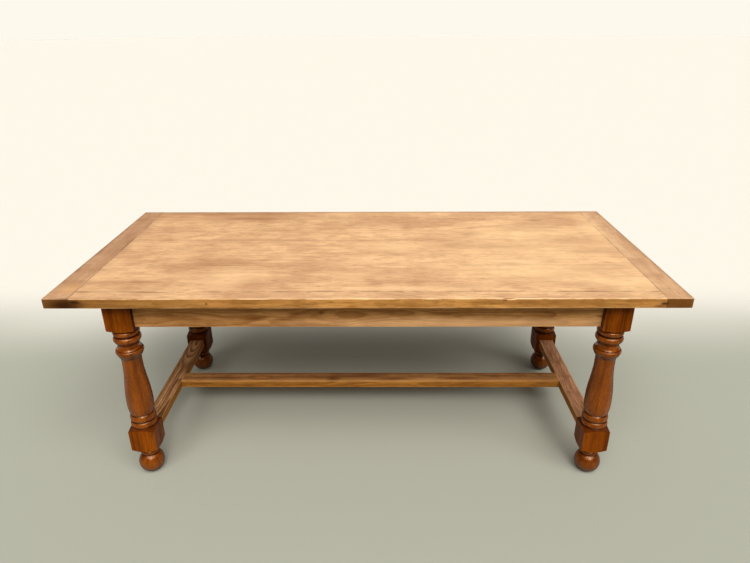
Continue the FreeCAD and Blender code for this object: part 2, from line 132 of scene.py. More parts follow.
class Side(Enum):
    """Side of a board, as its axis and the end of its box on that axis."""

    LEFT = (0, 0)
    RIGHT = (0, 1)
    FRONT = (1, 0)
    BACK = (1, 1)
    LOWER = (2, 0)
    UPPER = (2, 1)

    def holds(self, spot: Vector, box: Box) -> bool:
        """True where a place lies on this side of a box."""
        axis, end = self.value
        return abs(spot[axis] - box[end][axis]) < MERGE_DISTANCE


class NodeBench:
    """Short calls that add and join the nodes of one tree."""

    def __init__(self, tree: bpy.types.NodeTree) -> None:
        """Takes the tree that the nodes go into."""
        self.tree = tree

    def add(self, kind: str, **settings: object) -> bpy.types.Node:
        """Adds a node.

        Args:
            kind: Name of the node's type.
            settings: Properties of the node by name.

        Returns:
            The new node.
        """
        node = self.tree.nodes.new(kind)
        for name, value in settings.items():
            setattr(node, name, value)
        return node

    def feed(self, socket: Socket, value: object) -> None:
        """Links a socket to another one, or sets it to a plain value.

        Args:
            socket: Socket that takes the value.
            value: Socket, number, vector or colour.
        """
        if isinstance(value, bpy.types.NodeSocket):
            self.tree.links.new(value, socket)
        else:
            socket.default_value = value

    def run(self, kind: str, fed: dict[str, object], output: int | str = 0, **settings: object) -> Socket:
        """Adds a node, feeds its inputs and takes an output.

        Args:
            kind: Name of the node's type.
            fed: Sockets or plain values by the inputs' names.
            output: Place or name of the output.
            settings: Properties of the node by name.

        Returns:
            The output.
        """
        node = self.add(kind, **settings)
        for name, value in fed.items():
            self.feed(node.inputs[name], value)
        return node.outputs[output]

    def math(self, operation: str, *values: Number) -> Socket:
        """Adds a sum of numbers.

        Args:
            operation: Name of the operation.
            values: Its operands in order.

        Returns:
            The result.
        """
        node = self.add("ShaderNodeMath", operation=operation)
        for socket, value in zip(node.inputs, values):
            self.feed(socket, value)
        return node.outputs[0]

    def vector(self, operation: str, *values: object) -> Socket:
        """Adds a sum of vectors.

        Args:
            operation: Name of the operation.
            values: Its operands in order.

        Returns:
            The result, a number for a length or a dot product.
        """
        node = self.add("ShaderNodeVectorMath", operation=operation)
        for socket, value in zip(node.inputs, values):
            self.feed(socket, value)
        return node.outputs["Value" if operation in ("LENGTH", "DOT_PRODUCT") else "Vector"]

    def split(self, vector: Socket) -> list[Socket]:
        """Parts a vector.

        Args:
            vector: The vector.

        Returns:
            Its three parts.
        """
        node = self.add("ShaderNodeSeparateXYZ")
        self.feed(node.inputs[0], vector)
        return list(node.outputs)

    def noise(self, vector: Socket, scale: Triple, detail: float, offset: float = 0.0) -> Socket:
        """Adds a noise that can be drawn out along an axis.

        Args:
            vector: Place in metres.
            scale: Features to the metre along each axis.
            detail: Count of finer layers.
            offset: Shift that gives another draw of the noise.

        Returns:
            Noise about 0.5.
        """
        drawn_out = self.vector("MULTIPLY_ADD", vector, scale, (offset,) * 3)
        return self.run("ShaderNodeTexNoise", {"Vector": drawn_out, "Scale": 1.0, "Detail": detail})

    def ramp(self, value: Socket, low: Number, high: Number, start: float = 0.0, end: float = 1.0) -> Socket:
        """Maps a range softly onto another.

        Args:
            value: Number to map.
            low: Value that gives the start.
            high: Value that gives the end.
            start: Result at the low value and below.
            end: Result at the high value and above.

        Returns:
            The mapped number.
        """
        node = self.add("ShaderNodeMapRange", interpolation_type="SMOOTHSTEP")
        for socket, number in zip(node.inputs, (value, low, high, start, end)):
            self.feed(socket, number)
        return node.outputs[0]

    def blend(self, share: Number, first: object, second: object) -> Socket:
        """Mixes two colours.

        Args:
            share: Share of the second colour.
            first: Colour below.
            second: Colour above.

        Returns:
            The mixed colour.
        """
        node = self.add("ShaderNodeMix", data_type="RGBA")
        colours = [socket for socket in node.inputs if socket.type == "RGBA"]
        for socket, value in zip([node.inputs[0], *colours], (share, first, second)):
            self.feed(socket, value)
        return next(socket for socket in node.outputs if socket.type == "RGBA")


@dataclass(frozen=True)
class GrainLayer:
    """Noise drawn out along the fibres, and the range of it that marks the wood."""

    name: str
    scale: Triple
    detail: float
    offset: float
    low: float
    high: float

    def share(self, bench: NodeBench, place: Socket) -> Socket:
        """Share of the mark, from 0 to 1, at a place with its fibres along X."""
        return bench.ramp(bench.noise(place, self.scale, self.detail, self.offset), self.low, self.high)


class WoodGrain:
    """Node group with the solid figure of wood, its fibres along the X of the place given."""

    NAME = "wood_grain"
    RESULTS = ("Rings", "Streaks", "Dashes", "Fibres", "Pores", "Specks")
    MARKS = (
        GrainLayer("Streaks", (2.2, 42, 42), 4, 3.1, 0.40, 0.66),
        GrainLayer("Dashes", (26, 230, 230), 2, 8.9, 0.54, 0.70),
        GrainLayer("Pores", (34, 780, 780), 1, 5.3, 0.60, 0.70))
    PATCHES = (
        GrainLayer("Blotches", (13, 27, 27), 4, 6.3, 0.42, 0.66),
        GrainLayer("Clouds", (3.4, 8, 8), 3, 9.2, 0.36, 0.66))
    # Noises used whole: features to the metre along each axis, finer layers and shift
    FIBRES = ((7, 330, 330), 3, 7.7)
    RAGGED_RINGS = ((5, 90, 90), 2, 1.9)
    RAGGED_REACH = 0.5
    DRIFT_SCALE = (1.7, 7, 7)
    DRIFT_DETAIL = 2.0
    MIDDLE_OF_NOISE = (0.5, 0.5, 0.5)
    ACROSS_FIBRES = (0, 1, 1)
    LATE_WOOD = (0.25, 0.86)
    RING_END = (0.9, 1.0)
    YEARS_APART = 0.6
    SPECKS_PER_METRE = 26.0
    SPECK_REACH = (0.03, 0.07)

    @classmethod
    def group(cls) -> bpy.types.NodeTree:
        """The group, made on its first use."""
        return bpy.data.node_groups.get(cls.NAME) or cls.build()

    @classmethod
    def build(cls) -> bpy.types.NodeTree:
        """Makes the group.

        Returns:
            A group that takes a place, the spacing of the growth rings and their wander, and
            gives shares from 0 to 1.
        """
        tree = bpy.data.node_groups.new(cls.NAME, "ShaderNodeTree")
        tree.interface.new_socket("Vector", in_out="INPUT", socket_type="NodeSocketVector")
        for name in ("Ring Spacing", "Wander"):
            tree.interface.new_socket(name, in_out="INPUT", socket_type="NodeSocketFloat")
        for name in cls.RESULTS:
            tree.interface.new_socket(name, in_out="OUTPUT", socket_type="NodeSocketFloat")
        bench = NodeBench(tree)
        given = bench.add("NodeGroupInput").outputs
        result = bench.add("NodeGroupOutput").inputs
        place = given["Vector"]
        bench.feed(result["Rings"], cls.rings(bench, place, given["Ring Spacing"], given["Wander"]))
        for layer in cls.MARKS:
            bench.feed(result[layer.name], layer.share(bench, place))
        bench.feed(result["Fibres"], bench.noise(place, *cls.FIBRES))
        specks = {"Vector": place, "Scale": cls.SPECKS_PER_METRE}
        distance = bench.run("ShaderNodeTexVoronoi", specks, "Distance")
        bench.feed(result["Specks"], bench.ramp(distance, *cls.SPECK_REACH, 1.0, 0.0))
        return tree

    @classmethod
    def rings(cls, bench: NodeBench, place: Socket, spacing: Socket, wander: Socket) -> Socket:
        """Growth rings about a pith that wanders along the fibres.

        Args:
            bench: Bench of the group.
            place: Place with its fibres along X and the pith on the X axis.
            spacing: Width of one ring.
            wander: Reach of the pith's wandering.

        Returns:
            Share of dark late wood.
        """
        drawn_out = bench.vector("MULTIPLY", place, cls.DRIFT_SCALE)
        drift = {"Vector": drawn_out, "Scale": 1.0, "Detail": cls.DRIFT_DETAIL}
        colour = bench.run("ShaderNodeTexNoise", drift, "Color")
        centred = bench.vector("SUBTRACT", colour, cls.MIDDLE_OF_NOISE)
        reach = bench.run("ShaderNodeCombineXYZ", {"Y": wander, "Z": wander})
        moved = bench.vector("MULTIPLY_ADD", centred, reach, place)
        radius = bench.vector("LENGTH", bench.vector("MULTIPLY", moved, cls.ACROSS_FIBRES))
        count = bench.math("DIVIDE", radius, spacing)
        ragged = bench.math("MULTIPLY_ADD", bench.noise(place, *cls.RAGGED_RINGS), cls.RAGGED_REACH, count)
        share = bench.math("FRACT", ragged)
        rise = bench.ramp(share, *cls.LATE_WOOD)
        fall = bench.ramp(share, *cls.RING_END, 1.0, 0.0)
        year = {"W": bench.math("FLOOR", ragged)}
        vigour = bench.run("ShaderNodeTexWhiteNoise", year, "Value", noise_dimensions="1D")
        strength = bench.math("MULTIPLY_ADD", vigour, cls.YEARS_APART, 1 - cls.YEARS_APART)
        return bench.math("MULTIPLY", bench.math("MULTIPLY", rise, fall), strength)


@dataclass(frozen=True)
class WoodFinish:
    """Tones, figure and gloss of one kind of finished wood."""

    FIBRE_RANGE = (0.3, 0.72)

    ground: Colour
    figure: Colour
    pore: Colour
    end_grain: Colour
    ring_spacing: float = 4 * MM
    wander: float = 60 * MM
    ring_share: float = 0.5
    streak_share: float = 0.35
    blotch_share: float = 0.35
    dash_share: float = 0.25
    fibre_share: float = 0.25
    pore_share: float = 0.4
    cloud_share: float = 0.25
    speck_share: float = 0.0
    roughness: float = 0.5
    specular: float = 0.2
    burnish: float = 0.0
    sheen: Colour = (1.0, 1.0, 1.0, 1.0)
    relief: float = 0.25 * MM

    def colour(self, bench: NodeBench, wood: dict[str, Socket], end_share: Socket) -> Socket:
        """Mixes the tones by the figure.

        Args:
            bench: Bench of the material.
            wood: Shares of the wood's figure by name.
            end_share: Share of end grain.

        Returns:
            The colour.
        """
        broad = {"Rings": self.ring_share, "Streaks": self.streak_share,
                 "Blotches": self.blotch_share, "Clouds": self.cloud_share}
        fine = {"Dashes": self.dash_share, "Pores": self.pore_share, "Specks": self.speck_share}
        mixed = self.ground
        for name, share in broad.items():
            mixed = bench.blend(bench.math("MULTIPLY", wood[name], share), mixed, self.figure)
        mixed = bench.blend(end_share, mixed, self.end_grain)
        fibres = bench.ramp(wood["Fibres"], *self.FIBRE_RANGE, 0.0, self.fibre_share)
        mixed = bench.blend(fibres, mixed, self.pore)
        for name, share in fine.items():
            mixed = bench.blend(bench.math("MULTIPLY", wood[name], share), mixed, self.pore)
        return mixed


class Finish(Enum):
    """Finishes of the table's woods."""

    SANDED_TOP = WoodFinish(
        ground=tone(245, 201, 151), figure=tone(190, 142, 106), pore=tone(140, 92, 56),
        end_grain=tone(150, 100, 58), ring_share=0.15, streak_share=0.24, blotch_share=0.38,
        dash_share=0.42, fibre_share=0.25, pore_share=0.35, cloud_share=0.58, speck_share=0.9,
        roughness=0.52)
    SANDED_BREADBOARD = WoodFinish(
        ground=tone(224, 181, 140), figure=tone(180, 134, 98), pore=tone(138, 94, 62),
        end_grain=tone(120, 74, 30), ring_share=0.35, streak_share=0.4, blotch_share=0.45,
        dash_share=0.3, fibre_share=0.25, cloud_share=0.2, speck_share=0.6, roughness=0.5)
    VARNISHED_EDGE = WoodFinish(
        ground=tone(210, 151, 82), figure=tone(136, 87, 36), pore=tone(88, 50, 16),
        end_grain=tone(100, 56, 18), ring_share=0.5, streak_share=0.55, blotch_share=0.45,
        dash_share=0.4, fibre_share=0.3, speck_share=0.7, roughness=0.42, specular=0.08,
        sheen=AMBER_SHEEN)
    APRON = WoodFinish(
        ground=tone(218, 160, 98), figure=tone(140, 86, 38), pore=tone(104, 60, 22),
        end_grain=tone(120, 76, 36), ring_share=0.65, streak_share=0.4, blotch_share=0.35,
        dash_share=0.25, speck_share=0.7, roughness=0.46, specular=0.08,
        sheen=AMBER_SHEEN)
    STRETCHER = WoodFinish(
        ground=tone(200, 133, 54), figure=tone(124, 74, 24), pore=tone(74, 40, 12),
        end_grain=tone(110, 64, 22), ring_spacing=5.5 * MM, ring_share=0.75, streak_share=0.4,
        dash_share=0.3, fibre_share=0.35, pore_share=0.5, roughness=0.4, specular=0.1,
        sheen=AMBER_SHEEN)
    SCUFFED_STRETCHER = WoodFinish(
        ground=tone(238, 178, 122), figure=tone(84, 48, 20), pore=tone(64, 34, 12),
        end_grain=tone(110, 64, 22), ring_spacing=9 * MM, ring_share=0.9, streak_share=0.55,
        blotch_share=0.2, dash_share=0.5, fibre_share=0.4, pore_share=0.5)
    FADED_STRETCHER = WoodFinish(
        ground=tone(206, 152, 114), figure=tone(128, 84, 54), pore=tone(86, 50, 26),
        end_grain=tone(110, 64, 22), ring_spacing=6 * MM, ring_share=0.5, streak_share=0.5,
        dash_share=0.6, pore_share=0.6)
    WALKED_STRETCHER = WoodFinish(
        ground=tone(204, 146, 88), figure=tone(108, 66, 34), pore=tone(78, 44, 20),
        end_grain=tone(110, 64, 22), ring_spacing=7 * MM, ring_share=0.6, streak_share=0.6,
        dash_share=0.5)
    TURNED_LEG = WoodFinish(
        ground=tone(154, 77, 6), figure=tone(76, 29, 1), pore=tone(40, 12, 0),
        end_grain=tone(84, 36, 6), ring_share=0.45, streak_share=0.7, blotch_share=0.3,
        dash_share=0.3, fibre_share=0.35, pore_share=0.35, cloud_share=0.3, roughness=0.25,
        specular=0.1, burnish=0.55, sheen=RED_SHEEN, relief=0.1 * MM)
    RAW_WOOD = WoodFinish(
        ground=tone(196, 160, 114), figure=tone(158, 118, 76), pore=tone(110, 76, 46),
        end_grain=tone(140, 100, 60), roughness=0.66, relief=0.4 * MM)


def new_material(name: str) -> tuple[bpy.types.Material, NodeBench, bpy.types.Node]:
    """Makes a material with nodes.

    Args:
        name: Its name.

    Returns:
        The material, the bench of its tree and its shader.
    """
    material = bpy.data.materials.new(name)
    material.use_nodes = True
    return material, NodeBench(material.node_tree), material.node_tree.nodes["Principled BSDF"]


@dataclass(frozen=True)
class StainOrShade:
    """Soft patch, darker or paler than the wood round it; some are stains, and some are painted shade."""

    DARK = tone(150, 100, 62)
    PALE = tone(255, 214, 160)
    TOP_REACH = 20 * MM
    RAGGED_REACH = 0.9
    FADE = (0.55, 1.6)

    centre: Triple
    reach: Triple
    depth: float
    colour: Colour = DARK

    @classmethod
    def on_top(cls, x: float, y: float, along: float, across: float, depth: float) -> "StainOrShade":
        """Patch on the upper face of the table, pale where its depth is below zero.

        Args:
            x: Middle along the table.
            y: Middle across the table.
            along: Half its length along the table.
            across: Half its width across the table.
            depth: Its greatest share, with the sign of its kind.

        Returns:
            The patch.
        """
        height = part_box("top_front_strip")[1].z
        colour = cls.DARK if depth > 0 else cls.PALE
        return cls((x, y, height), (along, across, cls.TOP_REACH), abs(depth), colour)

    def meets(self, box: Box) -> bool:
        """Tells whether the patch reaches a piece.

        Args:
            box: The piece's box.

        Returns:
            True where it does.
        """
        low, high = box
        margin = [self.FADE[1] * reach for reach in self.reach]
        return all(low[axis] - margin[axis] < self.centre[axis] < high[axis] + margin[axis]
                   for axis in range(3))

    def share(self, bench: NodeBench, place: Socket, ragged: Socket) -> Socket:
        """Share of the patch at a place.

        Args:
            bench: Bench of the material.
            place: Place in the table's frame.
            ragged: Noise that breaks up the patch's edge.

        Returns:
            Share from 0 to the patch's depth.
        """
        offset = bench.vector("SUBTRACT", place, self.centre)
        scaled = bench.vector("MULTIPLY", offset, tuple(1 / reach for reach in self.reach))
        reach = bench.math("MULTIPLY_ADD", ragged, self.RAGGED_REACH, bench.vector("LENGTH", scaled))
        return bench.ramp(reach, *self.FADE, self.depth, 0.0)


@dataclass
class WoodSurface:
    """Material of one piece of wood, with its own place in the figure."""

    # Noises that break up stains, painted shade and wear: features to the metre, finer layers and shift
    STAIN_AND_SHADE_NOISE = ((9, 34, 34), 4, 2.7)
    WEAR_NOISE = ((14, 14, 14), 3, 4.4)
    # Reach along the fibres of the draw that sets the figures of the pieces apart
    FIGURE_DRAW = 3
    # Directions of the surface that count as end grain, upper face, underside and rim; the underside of
    # turned work gets painted shade
    END_GRAIN_FACING = (0.75, 0.95)
    END_GRAIN_SHARE = 0.85
    UPPER_FACING = (0.45, 0.85)
    UNDER_FACING = (-0.75, -0.05)
    UNDERSIDE_SHADE_SHARE = 0.65
    RIM_FACING = (0.5, 0.85)
    # Wear along arrises, and on the top's front strip a painted highlight: distances, and the range of the
    # noise that it shows in
    RUB_REACH = (0.4 * MM, 4 * MM)
    RUB_PATCHES = (0.35, 0.6)
    RUB_FROM_SEAM = (4 * MM, 9 * MM)
    # Dirt in seams: a broken line that widens with its depth, and a halo
    SEAM_CORE = 0.6 * MM
    SEAM_LEAST_WIDTH = 0.8 * MM
    SEAM_WIDENING = 2.4 * MM
    SEAM_PATCHES = (0.36, 0.58)
    SEAM_LEAST_SHARE = 0.35
    HALO_REACH = (1 * MM, 12 * MM)
    HALO_PATCHES = (0.4, 0.62)
    HALO_SHARE = 0.4
    # Dirt and painted shade in the hollows of turned work
    HOLLOW_RANGE = (0.08, 0.65)
    HOLLOW_SHADE_SHARE = 0.97
    # Gloss and relief
    FIBRE_DULLING = 0.12
    PORE_DULLING = 0.15
    RING_RELIEF = -0.35
    PORE_RELIEF = -0.6
    BUMP_STRENGTH = 0.6

    name: str
    box: Box
    grain: Grain
    finish: Finish
    seed: int
    pith: Pair = (0.02, -0.09)
    face_finish: Finish | None = None
    seams: tuple[tuple[Side, float], ...] = ()
    stains_or_shades: tuple[StainOrShade, ...] = ()
    hollows: str = ""
    turned: str = ""
    worn: Colour = tone(214, 168, 112)
    worn_share: float = 0.35
    # Colour of the dirt in the seams, and of the painted shade in the hollows and on the undersides of
    # turned work
    dirt_and_shade: Colour = tone(46, 26, 12)
    bench: NodeBench = field(init=False)

    def dress(self, piece: bpy.types.Object) -> None:
        """Gives a piece the material alone."""
        piece.data.materials.clear()
        piece.data.materials.append(self.build())

    def build(self) -> bpy.types.Material:
        """Makes the material.

        Returns:
            The material, ready for the piece.
        """
        material, self.bench, shader = new_material(self.name)
        finish = self.finish.value
        coordinates = self.bench.add("ShaderNodeTexCoord")
        place, normal = coordinates.outputs["Object"], coordinates.outputs["Normal"]
        wood = self.figure(place)
        facing = self.bench.math("ABSOLUTE", self.bench.split(normal)[self.grain.axis])
        end_share = self.bench.ramp(facing, *self.END_GRAIN_FACING, 0.0, self.END_GRAIN_SHARE)
        colour = finish.colour(self.bench, wood, end_share)
        roughness = finish.roughness
        rise = self.bench.split(normal)[2]
        if self.face_finish:
            face = self.face_finish.value
            up_share = self.bench.ramp(rise, *self.UPPER_FACING)
            colour = self.bench.blend(up_share, colour, face.colour(self.bench, wood, end_share))
            roughness = max(finish.roughness, face.roughness)
        colour = self.patched(colour, place)
        colour = self.aged(colour, place)
        colour = self.darkened(colour, rise)
        self.bench.feed(shader.inputs["Base Color"], colour)
        self.gloss(shader, wood, roughness)
        return material

    def figure(self, place: Socket) -> dict[str, Socket]:
        """Lays the wood's figure in the piece, and the patches that run on over its neighbours.

        Args:
            place: Place in the table's frame.

        Returns:
            Shares of the figure by name.
        """
        draw = random.Random(self.seed)
        middle = (self.box[0] + self.box[1]) / 2
        middle.rotate(self.grain.turn)
        shift = Vector((draw.uniform(-self.FIGURE_DRAW, self.FIGURE_DRAW), *self.pith))
        along = self.bench.run("ShaderNodeMapping", {"Vector": place, "Rotation": self.grain.turn})
        group = self.bench.add("ShaderNodeGroup", node_tree=WoodGrain.group())
        self.bench.feed(group.inputs["Vector"], self.bench.vector("ADD", along, shift - middle))
        group.inputs["Ring Spacing"].default_value = self.finish.value.ring_spacing
        group.inputs["Wander"].default_value = self.finish.value.wander
        shares = {name: group.outputs[name] for name in WoodGrain.RESULTS}
        for layer in WoodGrain.PATCHES:
            shares[layer.name] = layer.share(self.bench, along)
        return shares

    def patched(self, colour: Socket, place: Socket) -> Socket:
        """Lays the stains and the painted shade over a colour.

        Args:
            colour: Colour of the wood.
            place: Place in the table's frame.

        Returns:
            The stained colour.
        """
        if not self.stains_or_shades:
            return colour
        ragged = self.bench.noise(place, *self.STAIN_AND_SHADE_NOISE)
        for stain_or_shade in self.stains_or_shades:
            colour = self.bench.blend(stain_or_shade.share(self.bench, place, ragged), colour, stain_or_shade.colour)
        return colour

    def aged(self, colour: Socket, place: Socket) -> Socket:
        """Wears the arrises, with a painted highlight along the front strip of the top, and darkens the
        seams.

        Args:
            colour: Colour of the wood.
            place: Place in the table's frame.

        Returns:
            The aged colour.
        """
        bench = self.bench
        patchy = bench.noise(place, *self.WEAR_NOISE)
        gaps = self.seam_gaps(place)
        if self.worn_share:
            near = bench.ramp(self.arris_distance(place), *self.RUB_REACH, self.worn_share, 0.0)
            rubbed = bench.math("MULTIPLY", near, bench.ramp(patchy, *self.RUB_PATCHES))
            for gap in gaps:
                rubbed = bench.math("MULTIPLY", rubbed, bench.ramp(gap, *self.RUB_FROM_SEAM))
            colour = bench.blend(rubbed, colour, self.worn)
        for gap, (_, depth) in zip(gaps, self.seams):
            width = self.SEAM_LEAST_WIDTH + self.SEAM_WIDENING * depth
            line = bench.ramp(gap, self.SEAM_CORE, width, depth, 0.0)
            broken = bench.ramp(patchy, *self.SEAM_PATCHES, self.SEAM_LEAST_SHARE, 1.0)
            halo = bench.ramp(gap, *self.HALO_REACH, self.HALO_SHARE * depth, 0.0)
            cloudy = bench.ramp(patchy, *self.HALO_PATCHES)
            dirt = bench.math("MAXIMUM", bench.math("MULTIPLY", line, broken),
                              bench.math("MULTIPLY", halo, cloudy))
            colour = bench.blend(dirt, colour, self.dirt_and_shade)
        return colour

    def darkened(self, colour: Socket, rise: Socket) -> Socket:
        """Paints shade, with some dirt, into the hollows of turned work, and paints shade on its undersides.

        Args:
            colour: Colour of the wood.
            rise: How far the surface faces up.

        Returns:
            The darkened colour.
        """
        bench = self.bench
        if self.hollows:
            hollow = bench.ramp(self.attribute(self.hollows), *self.HOLLOW_RANGE, 0.0, self.HOLLOW_SHADE_SHARE)
            colour = bench.blend(hollow, colour, self.dirt_and_shade)
        if self.turned:
            under = bench.ramp(rise, *self.UNDER_FACING, self.UNDERSIDE_SHADE_SHARE, 0.0)
            share = bench.math("MULTIPLY", under, self.attribute(self.turned))
            colour = bench.blend(share, colour, self.dirt_and_shade)
        return colour

    def attribute(self, name: str) -> Socket:
        """Number that the piece's mesh holds under a name."""
        return self.bench.add("ShaderNodeAttribute", attribute_name=name).outputs["Fac"]

    def arris_distance(self, place: Socket) -> Socket:
        """Distance along the surface to the nearest edge of the piece's box.

        Args:
            place: Place in the table's frame.

        Returns:
            The distance.
        """
        low, high = self.box
        bench = self.bench
        centred = bench.vector("ABSOLUTE", bench.vector("SUBTRACT", place, (low + high) / 2))
        depths = bench.split(bench.vector("SUBTRACT", (high - low) / 2, centred))
        first, second, third = depths
        least = bench.math("MINIMUM", first, second)
        most = bench.math("MAXIMUM", first, second)
        return bench.math("MAXIMUM", least, bench.math("MINIMUM", most, third))

    def seam_gaps(self, place: Socket) -> list[Socket]:
        """Distances to the piece's seams.

        Args:
            place: Place in the table's frame.

        Returns:
            One distance for each seam.
        """
        parts = self.bench.split(place)
        gaps = []
        for side, _ in self.seams:
            axis, end = side.value
            offset = self.bench.math("SUBTRACT", parts[axis], self.box[end][axis])
            gaps.append(self.bench.math("ABSOLUTE", offset))
        return gaps

    def gloss(self, shader: bpy.types.Node, wood: dict[str, Socket], roughness: float) -> None:
        """Sets the gloss and the relief of the surface.

        Args:
            shader: Shader of the material.
            wood: Shares of the wood's figure by name.
            roughness: Roughness where the wood is smooth.
        """
        bench, finish = self.bench, self.finish.value
        smoothest = roughness - self.FIBRE_DULLING / 2
        uneven = bench.math("MULTIPLY_ADD", wood["Fibres"], self.FIBRE_DULLING, smoothest)
        dull = bench.math("MULTIPLY_ADD", wood["Pores"], self.PORE_DULLING, uneven)
        bench.feed(shader.inputs["Roughness"], dull)
        shader.inputs["Specular IOR Level"].default_value = finish.specular
        if self.turned:
            turned = self.attribute(self.turned)
            burnished = bench.math("MULTIPLY_ADD", turned, finish.burnish, finish.specular)
            facing = bench.add("ShaderNodeLayerWeight").outputs["Facing"]
            inward = bench.ramp(facing, *self.RIM_FACING, 1.0, 0.0)
            bench.feed(shader.inputs["Specular IOR Level"], bench.math("MULTIPLY", burnished, inward))
        shader.inputs["Specular Tint"].default_value = finish.sheen
        raised = bench.math("MULTIPLY_ADD", wood["Rings"], self.RING_RELIEF, wood["Fibres"])
        height = bench.math("MULTIPLY_ADD", wood["Pores"], self.PORE_RELIEF, raised)
        bump = {"Strength": self.BUMP_STRENGTH, "Distance": finish.relief, "Height": height}
        bench.feed(shader.inputs["Normal"], bench.run("ShaderNodeBump", bump))


def new_object(name: str, mesh: bpy.types.Mesh) -> bpy.types.Object:
    """Puts a mesh into the scene.

    Args:
        name: Name of the piece.
        mesh: Its mesh, already in place.

    Returns:
        The object, at the origin.
    """
    mesh.name = name
    piece = bpy.data.objects.new(name, mesh)
    bpy.context.scene.collection.objects.link(piece)
    return piece


def new_piece(name: str, shape: bmesh.types.BMesh) -> bpy.types.Object:
    """Puts a shape into the scene, and frees it.

    Args:
        name: Name of the piece.
        shape: Its shape, already in place.

    Returns:
        The object, at the origin.
    """
    mesh = bpy.data.meshes.new(name)
    shape.to_mesh(mesh)
    shape.free()
    return new_object(name, mesh)


def settle(piece: bpy.types.Object, *nodes: str, slot: str) -> None:
    """Makes a piece stand for its CAD nodes and ride with the table.

    Args:
        piece: The finished piece.
        nodes: CAD nodes that it stands for.
        slot: Material slot of the record; not used.
    """
    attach(piece, BODY)
    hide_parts(*nodes)
    LOG.info("%s: %d faces", piece.name, len(piece.data.polygons))


def apply_modifiers(piece: bpy.types.Object) -> None:
    """Turns a piece with its modifiers into a plain mesh, with no modifier left.

    Args:
        piece: Object whose modifiers are set up.
    """
    evaluated = piece.evaluated_get(bpy.context.evaluated_depsgraph_get())
    mesh = bpy.data.meshes.new_from_object(evaluated)
    piece.modifiers.clear()
    piece.data = mesh
    mesh.name = piece.name


def smooth(piece: bpy.types.Object) -> None:
    """Shades a piece smooth but for its sharp edges, and keeps its flats flat beside rounded arrises.

    Args:
        piece: The piece, with no modifier left.
    """
    mesh = piece.data
    mesh.polygons.foreach_set("use_smooth", [True] * len(mesh.polygons))
    mesh.set_sharp_from_angle(angle=SHARP_ANGLE)
    flats = piece.modifiers.new("flats", "WEIGHTED_NORMAL")
    flats.mode, flats.weight, flats.keep_sharp = "FACE_AREA", FLAT_WEIGHT, True
    apply_modifiers(piece)


@dataclass(frozen=True)
class Nick:
    """Small ragged hollow in a board, such as a chip, a gouge or a hole."""

    DIVISIONS = 3
    LUMPS = 1.7
    DRAWS_PER_METRE = 100

    centre: Triple
    reach: Triple
    ragged_share: float = 0.3

    def cut(self, shape: bmesh.types.BMesh) -> None:
        """Adds the waste of the nick to a mesh.

        Args:
            shape: Mesh of all the waste.
        """
        place = Matrix.LocRotScale(self.centre, None, self.reach)
        lump = bmesh.ops.create_icosphere(shape, subdivisions=self.DIVISIONS, radius=1.0)["verts"]
        for vert in lump:
            uneven = noise.noise(vert.co * self.LUMPS + Vector(self.centre) * self.DRAWS_PER_METRE)
            vert.co = place @ (vert.co * (1 + self.ragged_share * uneven))


